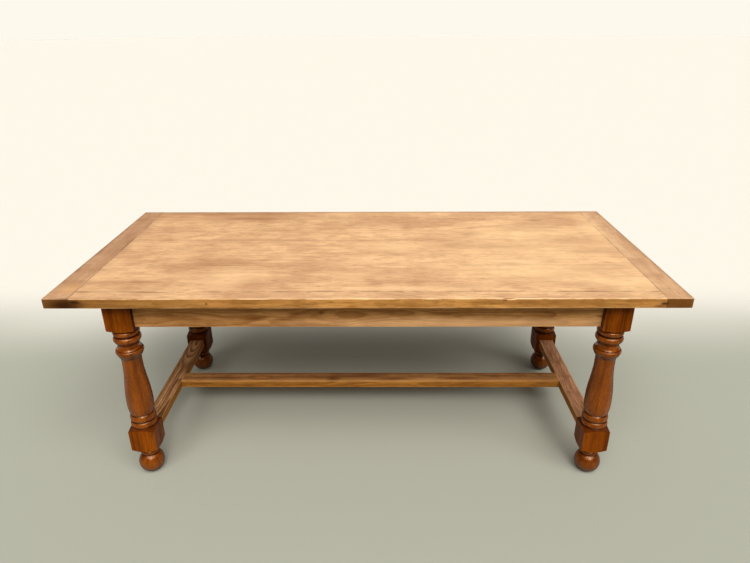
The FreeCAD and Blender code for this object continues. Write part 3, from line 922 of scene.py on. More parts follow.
@dataclass
class WornBoard:
    """Board, rail or block of a CAD node, with eased arrises and a hand-planed surface."""

    ROUNDING_FACETS = 6
    ARRIS_FACETS = 2
    ROUND_PROFILE = 0.5
    WANDERS_PER_METRE = 2.2
    DRAW_STEP = 3.7

    node: str
    grain: Grain
    arris: float = 0.9 * MM
    step: float = 25 * MM
    wander: float = 0.25 * MM
    seed: int = 1
    least_edge: float = 5 * MM
    nicks: tuple[Nick, ...] = ()
    rounded: tuple[tuple[Side, Side], ...] = ()
    rounding: float = 0.0

    def carve(self) -> bpy.types.Object:
        """Makes the piece from a copy of the node.

        Returns:
            The piece, named for its node.
        """
        shape = bmesh.new()
        shape.from_mesh(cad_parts[self.node].data)
        bmesh.ops.remove_doubles(shape, verts=shape.verts[:], dist=MERGE_DISTANCE)
        bmesh.ops.dissolve_limit(shape, angle_limit=FLAT_ANGLE, verts=shape.verts[:], edges=shape.edges[:])
        self.round_edges(shape)
        self.ease(shape)
        self.divide(shape)
        bmesh.ops.dissolve_degenerate(shape, dist=MERGE_DISTANCE, edges=shape.edges[:])
        self.plane_by_hand(shape)
        piece = new_piece(f"{self.node}_worn", shape)
        if self.nicks:
            self.chip(piece)
        smooth(piece)
        return piece

    def chip(self, piece: bpy.types.Object) -> None:
        """Cuts the nicks out of the board.

        Args:
            piece: The board.
        """
        shape = bmesh.new()
        for nick in self.nicks:
            nick.cut(shape)
        waste = new_piece(f"{self.node}_nicks", shape)
        cut = piece.modifiers.new("nicks", "BOOLEAN")
        cut.operation, cut.solver, cut.object = "DIFFERENCE", "MANIFOLD", waste
        apply_modifiers(piece)
        bpy.data.objects.remove(waste)

    def bevel(self, shape: bmesh.types.BMesh, edges: list[bmesh.types.BMEdge], reach: float,
              facets: int) -> None:
        """Rounds edges of the board.

        Args:
            shape: Mesh to change.
            edges: Edges to round.
            reach: Reach of the rounding on each side of an edge.
            facets: Count of facets across it.
        """
        bmesh.ops.bevel(shape, geom=edges, offset=reach, segments=facets, profile=self.ROUND_PROFILE,
                        affect="EDGES", clamp_overlap=True)

    def round_edges(self, shape: bmesh.types.BMesh) -> None:
        """Rounds the edges that hands, feet and chairs wear, each between two sides of the board.

        Args:
            shape: Mesh to change.
        """
        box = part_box(self.node)
        for sides in self.rounded:
            edges = [edge for edge in shape.edges
                     if all(side.holds(vert.co, box) for vert in edge.verts for side in sides)]
            self.bevel(shape, edges, self.rounding, self.ROUNDING_FACETS)

    def ease(self, shape: bmesh.types.BMesh) -> None:
        """Bevels the outward edges.

        Args:
            shape: Mesh to change.
        """
        edges = [edge for edge in shape.edges
                 if edge.is_manifold and edge.calc_length() > self.least_edge
                 and edge.calc_face_angle_signed() > SHARP_ANGLE]
        self.bevel(shape, edges, self.arris, self.ARRIS_FACETS)

    def divide(self, shape: bmesh.types.BMesh) -> None:
        """Cuts the faces across the fibres at even steps.

        Args:
            shape: Mesh to change.
        """
        low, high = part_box(self.node)
        axis = self.grain.axis
        across = Vector([float(index == axis) for index in range(3)])
        count = round((high - low)[axis] / self.step)
        for place in range(1, count):
            spot = low + across * (high - low)[axis] * place / count
            everything = shape.verts[:] + shape.edges[:] + shape.faces[:]
            bmesh.ops.bisect_plane(shape, geom=everything, dist=MERGE_DISTANCE, plane_co=spot,
                                   plane_no=across)

    def plane_by_hand(self, shape: bmesh.types.BMesh) -> None:
        """Lets the surface wander a little from the straight.

        Args:
            shape: Mesh to change.
        """
        draw = Vector((self.seed, 2 * self.seed, 0)) * self.DRAW_STEP
        for vert in shape.verts:
            shift = noise.noise_vector(vert.co * self.WANDERS_PER_METRE + draw) * self.wander
            shift[self.grain.axis] = 0
            vert.co += shift


@dataclass
class PlankedTop:
    """Five boards along the table, tongued together, and a breadboard across each end."""

    slot: str = "top_planks"
    breadboard_slot: str = "breadboard_wood"
    seam_arris: float = 0.5 * MM
    end_rounding: float = 7 * MM
    # Pale wear on the front strip's arrises, which also paints a highlight along its upper front arris
    front_wear_and_highlight: float = 0.7
    other_wear: float = 0.1
    boards: tuple[str, ...] = (
        "top_front_strip", "top_board_front", "top_board_middle", "top_board_back", "top_board_rear")
    piths: tuple[Pair, ...] = (
        (0.03, 0.16), (-0.06, -0.12), (0.08, -0.10), (-0.03, -0.15), (0.10, 0.14))
    seam_depths: tuple[float, ...] = (0.9, 0.38, 0.22, 0.30)
    breadboard_seam_depth: float = 0.6
    stains_or_shades: tuple[tuple[float, float, float, float, float], ...] = (
        (-0.50, 0.350, 0.150, 0.024, 0.50),
        (-0.60, 0.415, 0.380, 0.020, 0.35),
        (-0.52, -0.150, 0.340, 0.080, 0.22),
        (-0.30, 0.180, 0.300, 0.100, 0.14),
        (0.15, 0.250, 0.030, 0.200, 0.16),
        (0.70, 0.320, 0.045, 0.030, 0.35),
        (0.76, 0.060, 0.110, 0.032, 0.26),
        (0.02, -0.335, 0.035, 0.045, 0.25),
        (0.16, -0.330, 0.035, 0.045, 0.25),
        (-0.74, -0.320, 0.070, 0.018, 0.35),
        (-0.39, -0.330, 0.060, 0.035, 0.28),
        (0.10, -0.370, 0.280, 0.030, -0.35),
        (0.60, -0.250, 0.320, 0.110, -0.28),
        (0.65, 0.170, 0.280, 0.060, -0.20),
        (-0.77, 0.030, 0.130, 0.030, -0.28),
        (-0.10, -0.260, 0.180, 0.040, -0.22),
        (-0.184, -0.403, 0.012, 0.006, 0.55),
        (-0.69, -0.402, 0.080, 0.006, 0.50),
        (0.10, -0.423, 0.012, 0.003, 0.55),
        (0.78, -0.180, 0.160, 0.004, 0.40),
        (-0.25, 0.075, 0.150, 0.004, 0.32),
        (-0.55, -0.05, 0.420, 0.330, 0.10),
        (0.62, -0.02, 0.420, 0.420, -0.26),
        (-0.62, 0.365, 0.560, 0.150, 0.30),
        (-0.80, -0.340, 0.260, 0.090, 0.36),
        (-0.84, 0.100, 0.180, 0.060, 0.24),
        (0.10, 0.000, 0.170, 0.070, -0.50),
        (-0.46, -0.270, 0.160, 0.110, -0.36),
        (0.86, -0.330, 0.160, 0.110, -0.34),
        (0.92, 0.220, 0.070, 0.300, -0.34),
    )
    edge_marks: tuple[StainOrShade, ...] = (
        StainOrShade((-0.975, 0.060, 0.760), (0.075, 0.620, 0.030), 0.50, tone(150, 108, 80)),
        StainOrShade((-0.965, -0.375, 0.760), (0.045, 0.050, 0.012), 0.35, tone(226, 170, 104)),
        StainOrShade((-0.720, -0.450, 0.742), (0.300, 0.010, 0.050), 0.38, tone(120, 82, 38)),
        StainOrShade((-0.945, -0.450, 0.734), (0.070, 0.012, 0.038), 0.90, tone(46, 19, 1)),
        StainOrShade((-0.915, -0.450, 0.748), (0.024, 0.008, 0.008), 0.85, tone(40, 18, 4)),
        StainOrShade((0.928, -0.450, 0.742), (0.016, 0.010, 0.008), 0.9, tone(44, 18, 6)),
        StainOrShade((0.915, -0.450, 0.733), (0.024, 0.010, 0.008), 0.6, tone(92, 40, 14)),
        StainOrShade((0.980, -0.450, 0.735), (0.060, 0.010, 0.030), 0.20, tone(92, 52, 18)),
        StainOrShade((0.432, -0.450, 0.755), (0.014, 0.008, 0.004), 0.75, tone(70, 36, 10)),
        StainOrShade((0.456, -0.450, 0.757), (0.014, 0.008, 0.003), 0.6, tone(255, 220, 170)),
        StainOrShade((-0.348, -0.450, 0.742), (0.010, 0.006, 0.003), 0.6, tone(120, 52, 18)),
        StainOrShade((-0.163, -0.450, 0.743), (0.022, 0.006, 0.010), 0.4, tone(110, 66, 26)),
        StainOrShade((-0.501, -0.450, 0.742), (0.006, 0.009, 0.006), 0.9, tone(30, 14, 4)),
        # Painted shade along the back arris of the top, which turns away from the light
        StainOrShade((-0.200, 0.456, 0.758), (2.200, 0.036, 0.040), 0.65, tone(142, 110, 86)),
        StainOrShade((-1.020, 0.000, 0.757), (0.018, 0.700, 0.040), 0.75, tone(112, 82, 60)),
        StainOrShade((1.020, 0.000, 0.757), (0.016, 1.200, 0.040), 0.5, tone(136, 106, 82)),
    )
    nicks: tuple[Nick, ...] = (
        Nick((0.446, -0.4505, 0.7605), (0.022, 0.006, 0.006)),
        Nick((-0.184, -0.4030, 0.7605), (0.006, 0.0025, 0.002)),
        Nick((0.905, -0.4505, 0.7605), (0.012, 0.0035, 0.0035)),
        Nick((0.640, -0.4505, 0.7605), (0.009, 0.003, 0.003)),
        Nick((-0.770, -0.4505, 0.7605), (0.012, 0.003, 0.003)),
        Nick((-0.501, -0.4500, 0.7420), (0.002, 0.008, 0.0028), 0.1),
    )
    worm_holes: int = 9
    worm_hole_reach: Triple = (0.8 * MM, 5 * MM, 0.8 * MM)
    worm_hole_patch: tuple[float, float, float, float] = (-0.182, -0.144, 0.736, 0.751)
    worm_hole_seed: int = 3
    worm_hole_ragged_share: float = 0.1
    board_seed: int = 1
    breadboard_seed: int = 11
    figure_seed: int = 20
    breadboard_pith: Pair = (0.03, -0.08)
    # Pale colour of the wear, and of the painted highlight along the front arris
    worn: Colour = tone(255, 220, 172)
    # Breadboards, each with its outer side and the side that meets the boards
    ends: tuple[tuple[str, Side, Side], ...] = (
        ("breadboard_left", Side.LEFT, Side.RIGHT), ("breadboard_right", Side.RIGHT, Side.LEFT))

    def front_nicks(self) -> tuple[Nick, ...]:
        """Nicks of the front strip, with a patch of worm holes in its edge, evenly apart along it.

        Returns:
            All the nicks.
        """
        draw = random.Random(self.worm_hole_seed)
        left, right, low, high = self.worm_hole_patch
        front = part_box(self.boards[0])[0].y
        step = (right - left) / self.worm_holes
        holes = [Nick((left + step * hole, front, draw.uniform(low, high)), self.worm_hole_reach,
                      self.worm_hole_ragged_share)
                 for hole in range(self.worm_holes)]
        return self.nicks + tuple(holes)

    def build(self) -> None:
        """Makes and dresses every board."""
        end_depth = self.breadboard_seam_depth
        for count, (node, pith) in enumerate(zip(self.boards, self.piths)):
            seams = [(Side.LEFT, end_depth), (Side.RIGHT, end_depth)]
            if count:
                seams.append((Side.FRONT, self.seam_depths[count - 1]))
            if node != self.boards[-1]:
                seams.append((Side.BACK, self.seam_depths[count]))
            board = WornBoard(node, Grain.ALONG_X, self.seam_arris, seed=self.board_seed + count,
                              nicks=() if count else self.front_nicks())
            piece = board.carve()
            self.dress(piece, board, Finish.SANDED_TOP, pith, tuple(seams), count)
            settle(piece, node, slot=self.slot)
        for count, (node, outer, inner) in enumerate(self.ends):
            board = WornBoard(node, Grain.ALONG_Y, self.seam_arris, seed=self.breadboard_seed + count,
                              rounded=((outer, Side.LOWER),), rounding=self.end_rounding)
            piece = board.carve()
            self.dress(piece, board, Finish.SANDED_BREADBOARD, self.breadboard_pith,
                       ((inner, end_depth),), len(self.boards) + count)
            settle(piece, node, slot=self.breadboard_slot)

    def dress(self, piece: bpy.types.Object, board: WornBoard, face: Finish, pith: Pair,
              seams: tuple[tuple[Side, float], ...], count: int) -> None:
        """Gives a board its wood.

        Args:
            piece: The carved board.
            board: What it was carved from.
            face: Finish of its upper face.
            pith: Place of the pith across the fibres.
            seams: Sides that meet another board, with how dark each seam is.
            count: Place of the board in the top.
        """
        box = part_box(board.node)
        stains_or_shades = [StainOrShade.on_top(*stain_or_shade) for stain_or_shade in self.stains_or_shades] + list(self.edge_marks)
        WoodSurface(
            name=f"{board.node}_wood", box=box, grain=board.grain, finish=Finish.VARNISHED_EDGE,
            face_finish=face, seed=self.figure_seed + count, pith=pith, seams=seams, worn=self.worn,
            worn_share=self.front_wear_and_highlight if board.node == self.boards[0] else self.other_wear,
            stains_or_shades=tuple(stain_or_shade for stain_or_shade in stains_or_shades if stain_or_shade.meets(box))).dress(piece)


@dataclass
class UnderFrame:
    """Aprons, cross rail and stretchers, tenoned into the legs and into each other."""

    arris: float = 1.2 * MM
    worn_edges: dict[str, tuple[tuple[Side, Side], ...]] = field(default_factory=lambda: {
        "stretcher_centre": ((Side.FRONT, Side.UPPER), (Side.BACK, Side.UPPER))})
    edge_wear: float = 8 * MM
    upper_faces: dict[str, Finish] = field(default_factory=lambda: {
        "stretcher_left": Finish.SCUFFED_STRETCHER,
        "stretcher_right": Finish.FADED_STRETCHER,
        "stretcher_centre": Finish.WALKED_STRETCHER,
    })
    marks: dict[str, tuple[StainOrShade, ...]] = field(default_factory=lambda: {
        "apron_front": (
            # Painted shadow of the top's overhang along the upper edge of the front apron
            StainOrShade((-0.10, -0.377, 0.730), (1.10, 0.012, 0.050), 0.55, tone(84, 44, 8)),
            StainOrShade((-0.60, -0.377, 0.665), (0.26, 0.012, 0.060), 0.28, tone(126, 78, 32)),
            StainOrShade((-0.37, -0.377, 0.653), (0.055, 0.012, 0.014), 0.60, tone(104, 52, 8)),
            StainOrShade((-0.28, -0.377, 0.652), (0.035, 0.012, 0.012), 0.50, tone(104, 52, 8)),
            StainOrShade((-0.15, -0.377, 0.673), (0.014, 0.012, 0.008), 0.60, tone(84, 44, 12)),
            StainOrShade((0.08, -0.377, 0.676), (0.050, 0.012, 0.012), 0.45, tone(110, 64, 24)),
            StainOrShade((0.28, -0.377, 0.668), (0.090, 0.012, 0.010), 0.45, tone(110, 64, 24)),
            StainOrShade((0.62, -0.377, 0.676), (0.120, 0.012, 0.010), 0.40, tone(110, 64, 24)),
            # Painted light along the lower edge of the front apron
            StainOrShade((0.30, -0.377, 0.636), (0.72, 0.012, 0.027), 0.50, tone(242, 192, 140)),
        ),
        "stretcher_centre": (
            StainOrShade((0.00, -0.027, 0.177), (1.60, 0.026, 0.010), 0.50, tone(212, 150, 84)),
            StainOrShade((0.00, 0.032, 0.177), (1.60, 0.022, 0.012), 0.45, tone(96, 54, 28)),
            StainOrShade((-0.455, -0.005, 0.177), (0.070, 0.020, 0.014), 0.75, tone(84, 38, 10)),
            StainOrShade((-0.455, -0.005, 0.177), (0.046, 0.011, 0.014), 0.85, tone(190, 126, 70)),
            StainOrShade((-0.600, -0.010, 0.177), (0.090, 0.012, 0.014), 0.50, tone(100, 54, 20)),
            StainOrShade((-0.155, -0.014, 0.177), (0.040, 0.024, 0.016), 0.70, tone(92, 46, 14)),
            StainOrShade((-0.060, 0.010, 0.177), (0.160, 0.016, 0.014), 0.50, tone(96, 50, 20)),
            StainOrShade((0.100, -0.014, 0.177), (0.080, 0.012, 0.014), 0.60, tone(98, 52, 20)),
            StainOrShade((0.230, -0.020, 0.177), (0.090, 0.012, 0.014), 0.55, tone(226, 166, 98)),
            StainOrShade((0.378, -0.010, 0.177), (0.120, 0.012, 0.014), 0.60, tone(98, 52, 20)),
            StainOrShade((0.600, 0.004, 0.177), (0.160, 0.010, 0.014), 0.45, tone(98, 52, 20)),
            StainOrShade((-0.300, -0.031, 0.158), (0.120, 0.010, 0.008), 0.55, tone(146, 84, 22)),
            StainOrShade((0.420, -0.031, 0.156), (0.140, 0.010, 0.008), 0.50, tone(140, 80, 22)),
        ),
    })
    board_seed: int = 31
    figure_seed: int = 40
    worn: Colour = tone(214, 164, 106)
    worn_share: float = 0.6
    # Rails, each with its fibres, finish, material slot and pith
    rails: tuple[tuple[str, Grain, Finish, str, Pair], ...] = (
        ("apron_front", Grain.ALONG_X, Finish.APRON, "apron_wood", (0.07, 0.02)),
        ("apron_back", Grain.ALONG_X, Finish.APRON, "apron_wood", (0.05, -0.03)),
        ("apron_left", Grain.ALONG_Y, Finish.APRON, "apron_wood", (0.06, 0.03)),
        ("apron_right", Grain.ALONG_Y, Finish.APRON, "apron_wood", (-0.06, 0.02)),
        ("cross_rail", Grain.ALONG_Y, Finish.RAW_WOOD, "raw_wood", (0.05, 0.02)),
        ("stretcher_left", Grain.ALONG_Y, Finish.STRETCHER, "stretcher_wood", (0.01, -0.05)),
        ("stretcher_right", Grain.ALONG_Y, Finish.STRETCHER, "stretcher_wood", (-0.03, 0.08)),
        ("stretcher_centre", Grain.ALONG_X, Finish.STRETCHER, "stretcher_wood", (0.05, -0.01)),
    )

    def build(self) -> None:
        """Makes and dresses every rail."""
        for count, (node, grain, finish, slot, pith) in enumerate(self.rails):
            piece = WornBoard(node, grain, self.arris, seed=self.board_seed + count,
                              rounded=self.worn_edges.get(node, ()), rounding=self.edge_wear).carve()
            WoodSurface(
                name=f"{node}_wood", box=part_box(node), grain=grain, finish=finish,
                face_finish=self.upper_faces.get(node), seed=self.figure_seed + count, pith=pith,
                stains_or_shades=self.marks.get(node, ()), worn=self.worn, worn_share=self.worn_share).dress(piece)
            settle(piece, node, slot=slot)


@dataclass(frozen=True)
class LathePoint:
    """Point of a turned outline, with the bow of the stretch that leads to the next point."""

    height: float
    radius: float
    bow: float = 0.0

    def stretch(self, after: "LathePoint", angle_step: float, length_step: float) -> Outline:
        """Points from here up to, but without, the next point.

        Args:
            after: The next point.
            angle_step: Greatest angle between points on a round stretch.
            length_step: Greatest distance between points on a round stretch.

        Returns:
            Pairs of height and radius.
        """
        if not self.bow:
            return [(self.height, self.radius)]
        start = Vector((self.radius, self.height))
        stop = Vector((after.radius, after.height))
        chord = stop - start
        outward = Vector((chord.y, -chord.x)).normalized()
        reach = (chord.length_squared / 4 + self.bow ** 2) / (2 * self.bow)
        centre = (start + stop) / 2 + outward * (self.bow - reach)
        half_turn = math.asin(min(1.0, chord.length / 2 / abs(reach)))
        if abs(self.bow) > abs(reach):
            half_turn = math.pi - half_turn
        arc_length = 2 * half_turn * abs(reach)
        count = max(2, math.ceil(2 * half_turn / angle_step), math.ceil(arc_length / length_step))
        crown = outward * reach
        points = []
        for place in range(count):
            angle = half_turn * (2 * place / count - 1)
            turned = Matrix.Rotation(angle if self.bow > 0 else -angle, 2) @ crown
            points.append((centre.y + turned.y, centre.x + turned.x))
        return points


def write_attribute(mesh: bpy.types.Mesh, name: str, values: list[float]) -> None:
    """Writes a number under a name on every point of a mesh."""
    mesh.attributes.new(name, "FLOAT", "POINT").data.foreach_set("value", values)


class TurningBench(NodeBench):
    """Tree that turns a lathe line into a round mesh and works it further."""

    RADIUS = "turned_radius"

    def __init__(self, name: str, inputs: dict[str, str]) -> None:
        """Makes the tree, with a lathe line, facets and a material among its inputs.

        Args:
            name: Name of the tree.
            inputs: Kinds of its other inputs by name.
        """
        super().__init__(bpy.data.node_groups.new(name, "GeometryNodeTree"))
        kinds = {"Lathe Line": "Geometry", "Facets": "Int", **inputs, "Material": "Material"}
        for label, kind in kinds.items():
            self.tree.interface.new_socket(label, in_out="INPUT", socket_type=f"NodeSocket{kind}")
        self.tree.interface.new_socket("Turned", in_out="OUTPUT", socket_type="NodeSocketGeometry")
        self.given = self.add("NodeGroupInput").outputs

    @classmethod
    def line(cls, name: str, outline: Outline) -> bpy.types.Mesh:
        """Draws an upright line with the turned radius on its points.

        Args:
            name: Name of the line.
            outline: Pairs of height and radius.

        Returns:
            The line as a mesh.
        """
        mesh = bpy.data.meshes.new(name)
        ends = range(len(outline) - 1)
        mesh.from_pydata([(0, 0, height) for height, _ in outline], [(end, end + 1) for end in ends], [])
        write_attribute(mesh, cls.RADIUS, [radius for _, radius in outline])
        return mesh

    def swept(self, path: Socket, section: Socket, scale: Number) -> Socket:
        """Mesh with closed ends of a section swept along a path, scaled on its way."""
        fed = {"Curve": path, "Profile Curve": section, "Scale": scale, "Fill Caps": True}
        return self.run("GeometryNodeCurveToMesh", fed)

    def turned(self) -> Socket:
        """Sweeps a circle along the lathe line, as wide as the line says.

        Returns:
            The turned mesh.
        """
        fed = {"Radius": 1.0, "Resolution": self.given["Facets"]}
        circle = self.run("GeometryNodeCurvePrimitiveCircle", fed)
        line = self.run("GeometryNodeMeshToCurve", {"Mesh": self.given["Lathe Line"]})
        radius = self.run("GeometryNodeInputNamedAttribute", {"Name": self.RADIUS}, data_type="FLOAT")
        return self.swept(line, circle, radius)

    def cut(self, mesh: Socket, waste: Socket) -> Socket:
        """A mesh without its waste."""
        return self.run("GeometryNodeMeshBoolean", {"Mesh 1": mesh, "Mesh 2": waste}, "Mesh",
                        operation="DIFFERENCE", solver="EXACT")

    def moved(self, mesh: Socket, place: Socket) -> Socket:
        """A mesh moved from the origin to a place."""
        return self.run("GeometryNodeTransform", {"Geometry": mesh, "Translation": place})

    def mesh_of(self, name: str) -> Socket:
        """Mesh of the object that an input is given."""
        return self.run("GeometryNodeObjectInfo", {"Object": self.given[name]}, "Geometry")

    def close(self, mesh: Socket) -> None:
        """Ends the tree, with every copy made real and the material set.

        Args:
            mesh: What the tree gives.
        """
        real = self.run("GeometryNodeRealizeInstances", {"Geometry": mesh})
        fed = {"Geometry": real, "Material": self.given["Material"]}
        self.feed(self.add("NodeGroupOutput").inputs[0], self.run("GeometryNodeSetMaterial", fed))

    def work(self, piece: bpy.types.Object, values: dict[str, object]) -> None:
        """Makes a finished piece of an object that holds a lathe line.

        Args:
            piece: The object.
            values: Values of the tree's inputs by name.
        """
        modifier = piece.modifiers.new("turning", "NODES")
        modifier.node_group = self.tree
        for item in self.tree.interface.items_tree:
            if item.in_out == "INPUT" and item.name in values:
                modifier[item.identifier] = values[item.name]
        apply_modifiers(piece)
        smooth(piece)


@dataclass
class TurnedLegs:
    """Four legs turned from square stock: ball foot, collar, blocks, rings and vase."""

    slot: str = "varnished_legs"
    ball_diameter: float = 91 * MM
    ball_centre: float = 43 * MM
    lower_block: Pair = (112 * MM, 206 * MM)
    upper_block_bottom: float = 609.5 * MM
    foot_shoulder_rise: float = 10 * MM
    knee_shoulder_drop: float = 6 * MM
    head_shoulder_rise: float = 6 * MM
    arris: float = 2 * MM
    overrun: float = 5 * MM
    mortise_clearance: float = 0.15 * MM
    facets: int = 144
    angle_step: float = math.radians(9)
    length_step: float = 7 * MM
    hollow_reach: float = 7.5 * MM
    hollow_depth: float = 1.6 * MM
    ball_neck_share: float = 0.587
    # Collar over the ball, upwards: shares of the lower block's height, and of half the section
    collar_shares: tuple[Triple, ...] = (
        (0.737, 0.663, 0.061), (0.869, 0.663, 0), (0.893, 0.609, 0), (0.920, 0.641, 0))
    # Shaft, upwards: shares of its length, and of half the section
    shaft_shares: tuple[Triple, ...] = (
        (0.0037, 0.890, 0), (0.0087, 0.845, 0), (0.0136, 0.890, 0.100), (0.0694, 0.896, 0),
        (0.0731, 0.845, 0), (0.0768, 0.890, 0.083), (0.1351, 0.870, 0), (0.1413, 0.823, 0),
        (0.1487, 0.883, 0.0272), (0.2528, 0.991, 0.0329), (0.4634, 0.860, -0.0329),
        (0.6741, 0.728, 0), (0.6939, 0.728, -0.030), (0.7286, 0.810, 0.018), (0.7658, 0.970, 0.060),
        (0.8000, 0.935, 0), (0.8030, 0.865, 0), (0.8065, 0.905, -0.025), (0.8439, 0.757, 0),
        (0.8525, 0.765, 0), (0.8850, 0.965, 0.075), (0.9280, 0.878, 0), (0.9340, 0.810, 0),
        (0.9400, 0.874, 0.085), (0.9819, 0.874, 0), (0.9864, 0.825, 0), (0.9955, 0.880, 0))
    legs: tuple[str, ...] = ("leg_front_left", "leg_front_right", "leg_back_left", "leg_back_right")
    figure_seeds: tuple[int, ...] = (60, 66, 62, 63)
    # Painted shadow down the leg's inner face beside the apron, which stands back from the leg's front
    apron_gap_shade_reach: Triple = (4 * MM, 40 * MM, 250 * MM)
    # Colour of the painted shade on the legs, with some dirt in their hollows
    dirt_and_shade: Colour = tone(50, 13, 0)
    # Painted shade over each leg, used on the back legs that stand under the table
    back_leg_shade: tuple[float, ...] = (0.0, 0.0, 0.3, 0.2)
    hollow_attribute: str = "hollow"
    turned_attribute: str = "turned"
    arris_facets: int = 4
    pith_start: Pair = (0.03, 0.05)
    pith_step: Pair = (0.01, -0.02)
    worn: Colour = tone(176, 98, 34)
    worn_share: float = 0.4
    apron_gap_shade_depth: float = 0.9
    back_leg_shade_reach: Triple = (1.0, 1.0, 1.0)
    # Rails with tenons in the legs, each with the axis that it runs along
    rails: dict[str, int] = field(default_factory=lambda: {
        "apron_front": 0, "apron_back": 0, "apron_left": 1, "apron_right": 1,
        "stretcher_left": 1, "stretcher_right": 1})

    @cached_property
    def height(self) -> float:
        """Height of a leg, up to the underside of the top."""
        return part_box(self.legs[0])[1].z

    @cached_property
    def half_section(self) -> float:
        """Half the width of the square stock."""
        low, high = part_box(self.legs[0])
        return (high.x - low.x) / 2

    def outline(self) -> Outline:
        """Outline of the turned waste's inner side, from the floor up.

        Returns:
            Pairs of height and radius, with the blocks wider than the stock.
        """
        half = self.half_section
        corner = half * math.sqrt(2)
        waste = corner + self.overrun
        waste_share = (waste - half) / (corner - half)
        block_bottom, block_top = self.lower_block
        length = self.upper_block_bottom - block_top
        ball = self.ball_diameter / 2
        neck = self.ball_neck_share * half
        flat = math.sqrt(ball ** 2 - self.ball_centre ** 2)
        neck_height = self.ball_centre + math.sqrt(ball ** 2 - neck ** 2)
        chord = math.hypot(neck - flat, neck_height)
        ball_bow = ball - math.sqrt(ball ** 2 - chord ** 2 / 4)
        points = [LathePoint(0, flat, ball_bow), LathePoint(neck_height, neck)]
        points += [LathePoint(height * block_bottom, radius * half, bow * half)
                   for height, radius, bow in self.collar_shares]
        points.append(LathePoint(block_bottom + self.foot_shoulder_rise * waste_share, waste))
        points.append(LathePoint(block_top - self.knee_shoulder_drop * waste_share, waste))
        points += [LathePoint(block_top + height * length, radius * half, bow * half)
                   for height, radius, bow in self.shaft_shares]
        points.append(LathePoint(self.upper_block_bottom + self.head_shoulder_rise * waste_share, waste))
        points.append(LathePoint(self.height, waste))
        drawn = []
        for point, after in zip(points, points[1:]):
            drawn += point.stretch(after, self.angle_step, self.length_step)
        return drawn + [(points[-1].height, points[-1].radius)]

    def hollow(self, outline: Outline, height: float, radius: float) -> float:
        """How deep a place lies between the turned rings above and below it.

        Args:
            outline: Pairs of height and radius.
            height: Height of the place.
            radius: Radius of the place.

        Returns:
            Share from 0 to 1.
        """
        above = max(min(r, self.half_section) for h, r in outline if 0 <= h - height < self.hollow_reach)
        below = max(min(r, self.half_section) for h, r in outline if 0 <= height - h < self.hollow_reach)
        return max(0.0, min(1.0, (min(above, below) - radius) / self.hollow_depth))

    def line(self) -> bpy.types.Mesh:
        """Lathe line of a leg, with its hollows and what is turned on its points.

        Returns:
            The line as a mesh.
        """
        outline = self.outline()
        mesh = TurningBench.line("lathe_line", outline)
        write_attribute(mesh, self.hollow_attribute, [self.hollow(outline, *point) for point in outline])
        write_attribute(mesh, self.turned_attribute, [1.0] * len(outline))
        return mesh

    def lathe(self) -> TurningBench:
        """Tree that turns a leg: the lathe line swept with a circle, kept inside the square stock.

        Returns:
            The bench of the tree, with inputs for the stock, the leg's place and its mortises.
        """
        bench = TurningBench("turned_leg", {"Section": "Float", "Height": "Float", "Arris": "Float",
                                            "Place": "Vector", "Mortises": "Object"})
        given = bench.given
        sides = {"Width": given["Section"], "Height": given["Section"]}
        square = bench.run("GeometryNodeCurvePrimitiveQuadrilateral", sides)
        corners = {"Curve": square, "Radius": given["Arris"], "Count": self.arris_facets}
        eased = bench.run("GeometryNodeFilletCurve", corners, mode="POLY")
        end = bench.run("ShaderNodeCombineXYZ", {"Z": given["Height"]})
        stock = bench.swept(bench.run("GeometryNodeCurvePrimitiveLine", {"End": end}), eased, 1.0)
        leg = bench.add("GeometryNodeMeshBoolean", operation="INTERSECT", solver="EXACT")
        for mesh in (bench.turned(), stock):
            bench.feed(leg.inputs["Mesh 2"], mesh)
        placed = bench.moved(leg.outputs["Mesh"], given["Place"])
        bench.close(bench.cut(placed, bench.mesh_of("Mortises")))
        return bench

    def mortises(self, node: str) -> bpy.types.Object:
        """Blocks the size of the tenons that enter a leg.

        Args:
            node: CAD node of the leg.

        Returns:
            One object with a block for each tenon.
        """
        low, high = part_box(node)
        middle = (low + high) / 2
        clearance = self.mortise_clearance
        sides = range(3)
        shape = bmesh.new()
        for rail, axis in self.rails.items():
            inside = [vert.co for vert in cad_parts[rail].data.vertices
                      if all(low[side] + clearance < vert.co[side] < high[side] - clearance
                             for side in sides)]
            if not inside:
                continue
            start = Vector([min(spot[side] for spot in inside) - clearance for side in sides])
            stop = Vector([max(spot[side] for spot in inside) + clearance for side in sides])
            if middle[axis] < 0:
                stop[axis] = high[axis] + self.overrun
            else:
                start[axis] = low[axis] - self.overrun
            place = Matrix.LocRotScale((start + stop) / 2, None, stop - start)
            bmesh.ops.create_cube(shape, size=1.0, matrix=place)
        return new_piece(f"{node}_mortises", shape)

    def build(self) -> None:
        """Turns and dresses the four legs."""
        lathe = self.lathe()
        line = self.line()
        for count, node in enumerate(self.legs):
            low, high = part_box(node)
            piece = new_object(f"{node}_turned", line.copy())
            holes = self.mortises(node)
            lathe.work(piece, {
                "Section": 2 * self.half_section, "Height": self.height, "Arris": self.arris,
                "Facets": self.facets, "Place": ((low.x + high.x) / 2, (low.y + high.y) / 2, 0),
                "Mortises": holes, "Material": self.dress(node, count)})
            bpy.data.objects.remove(holes)
            settle(piece, node, slot=self.slot)

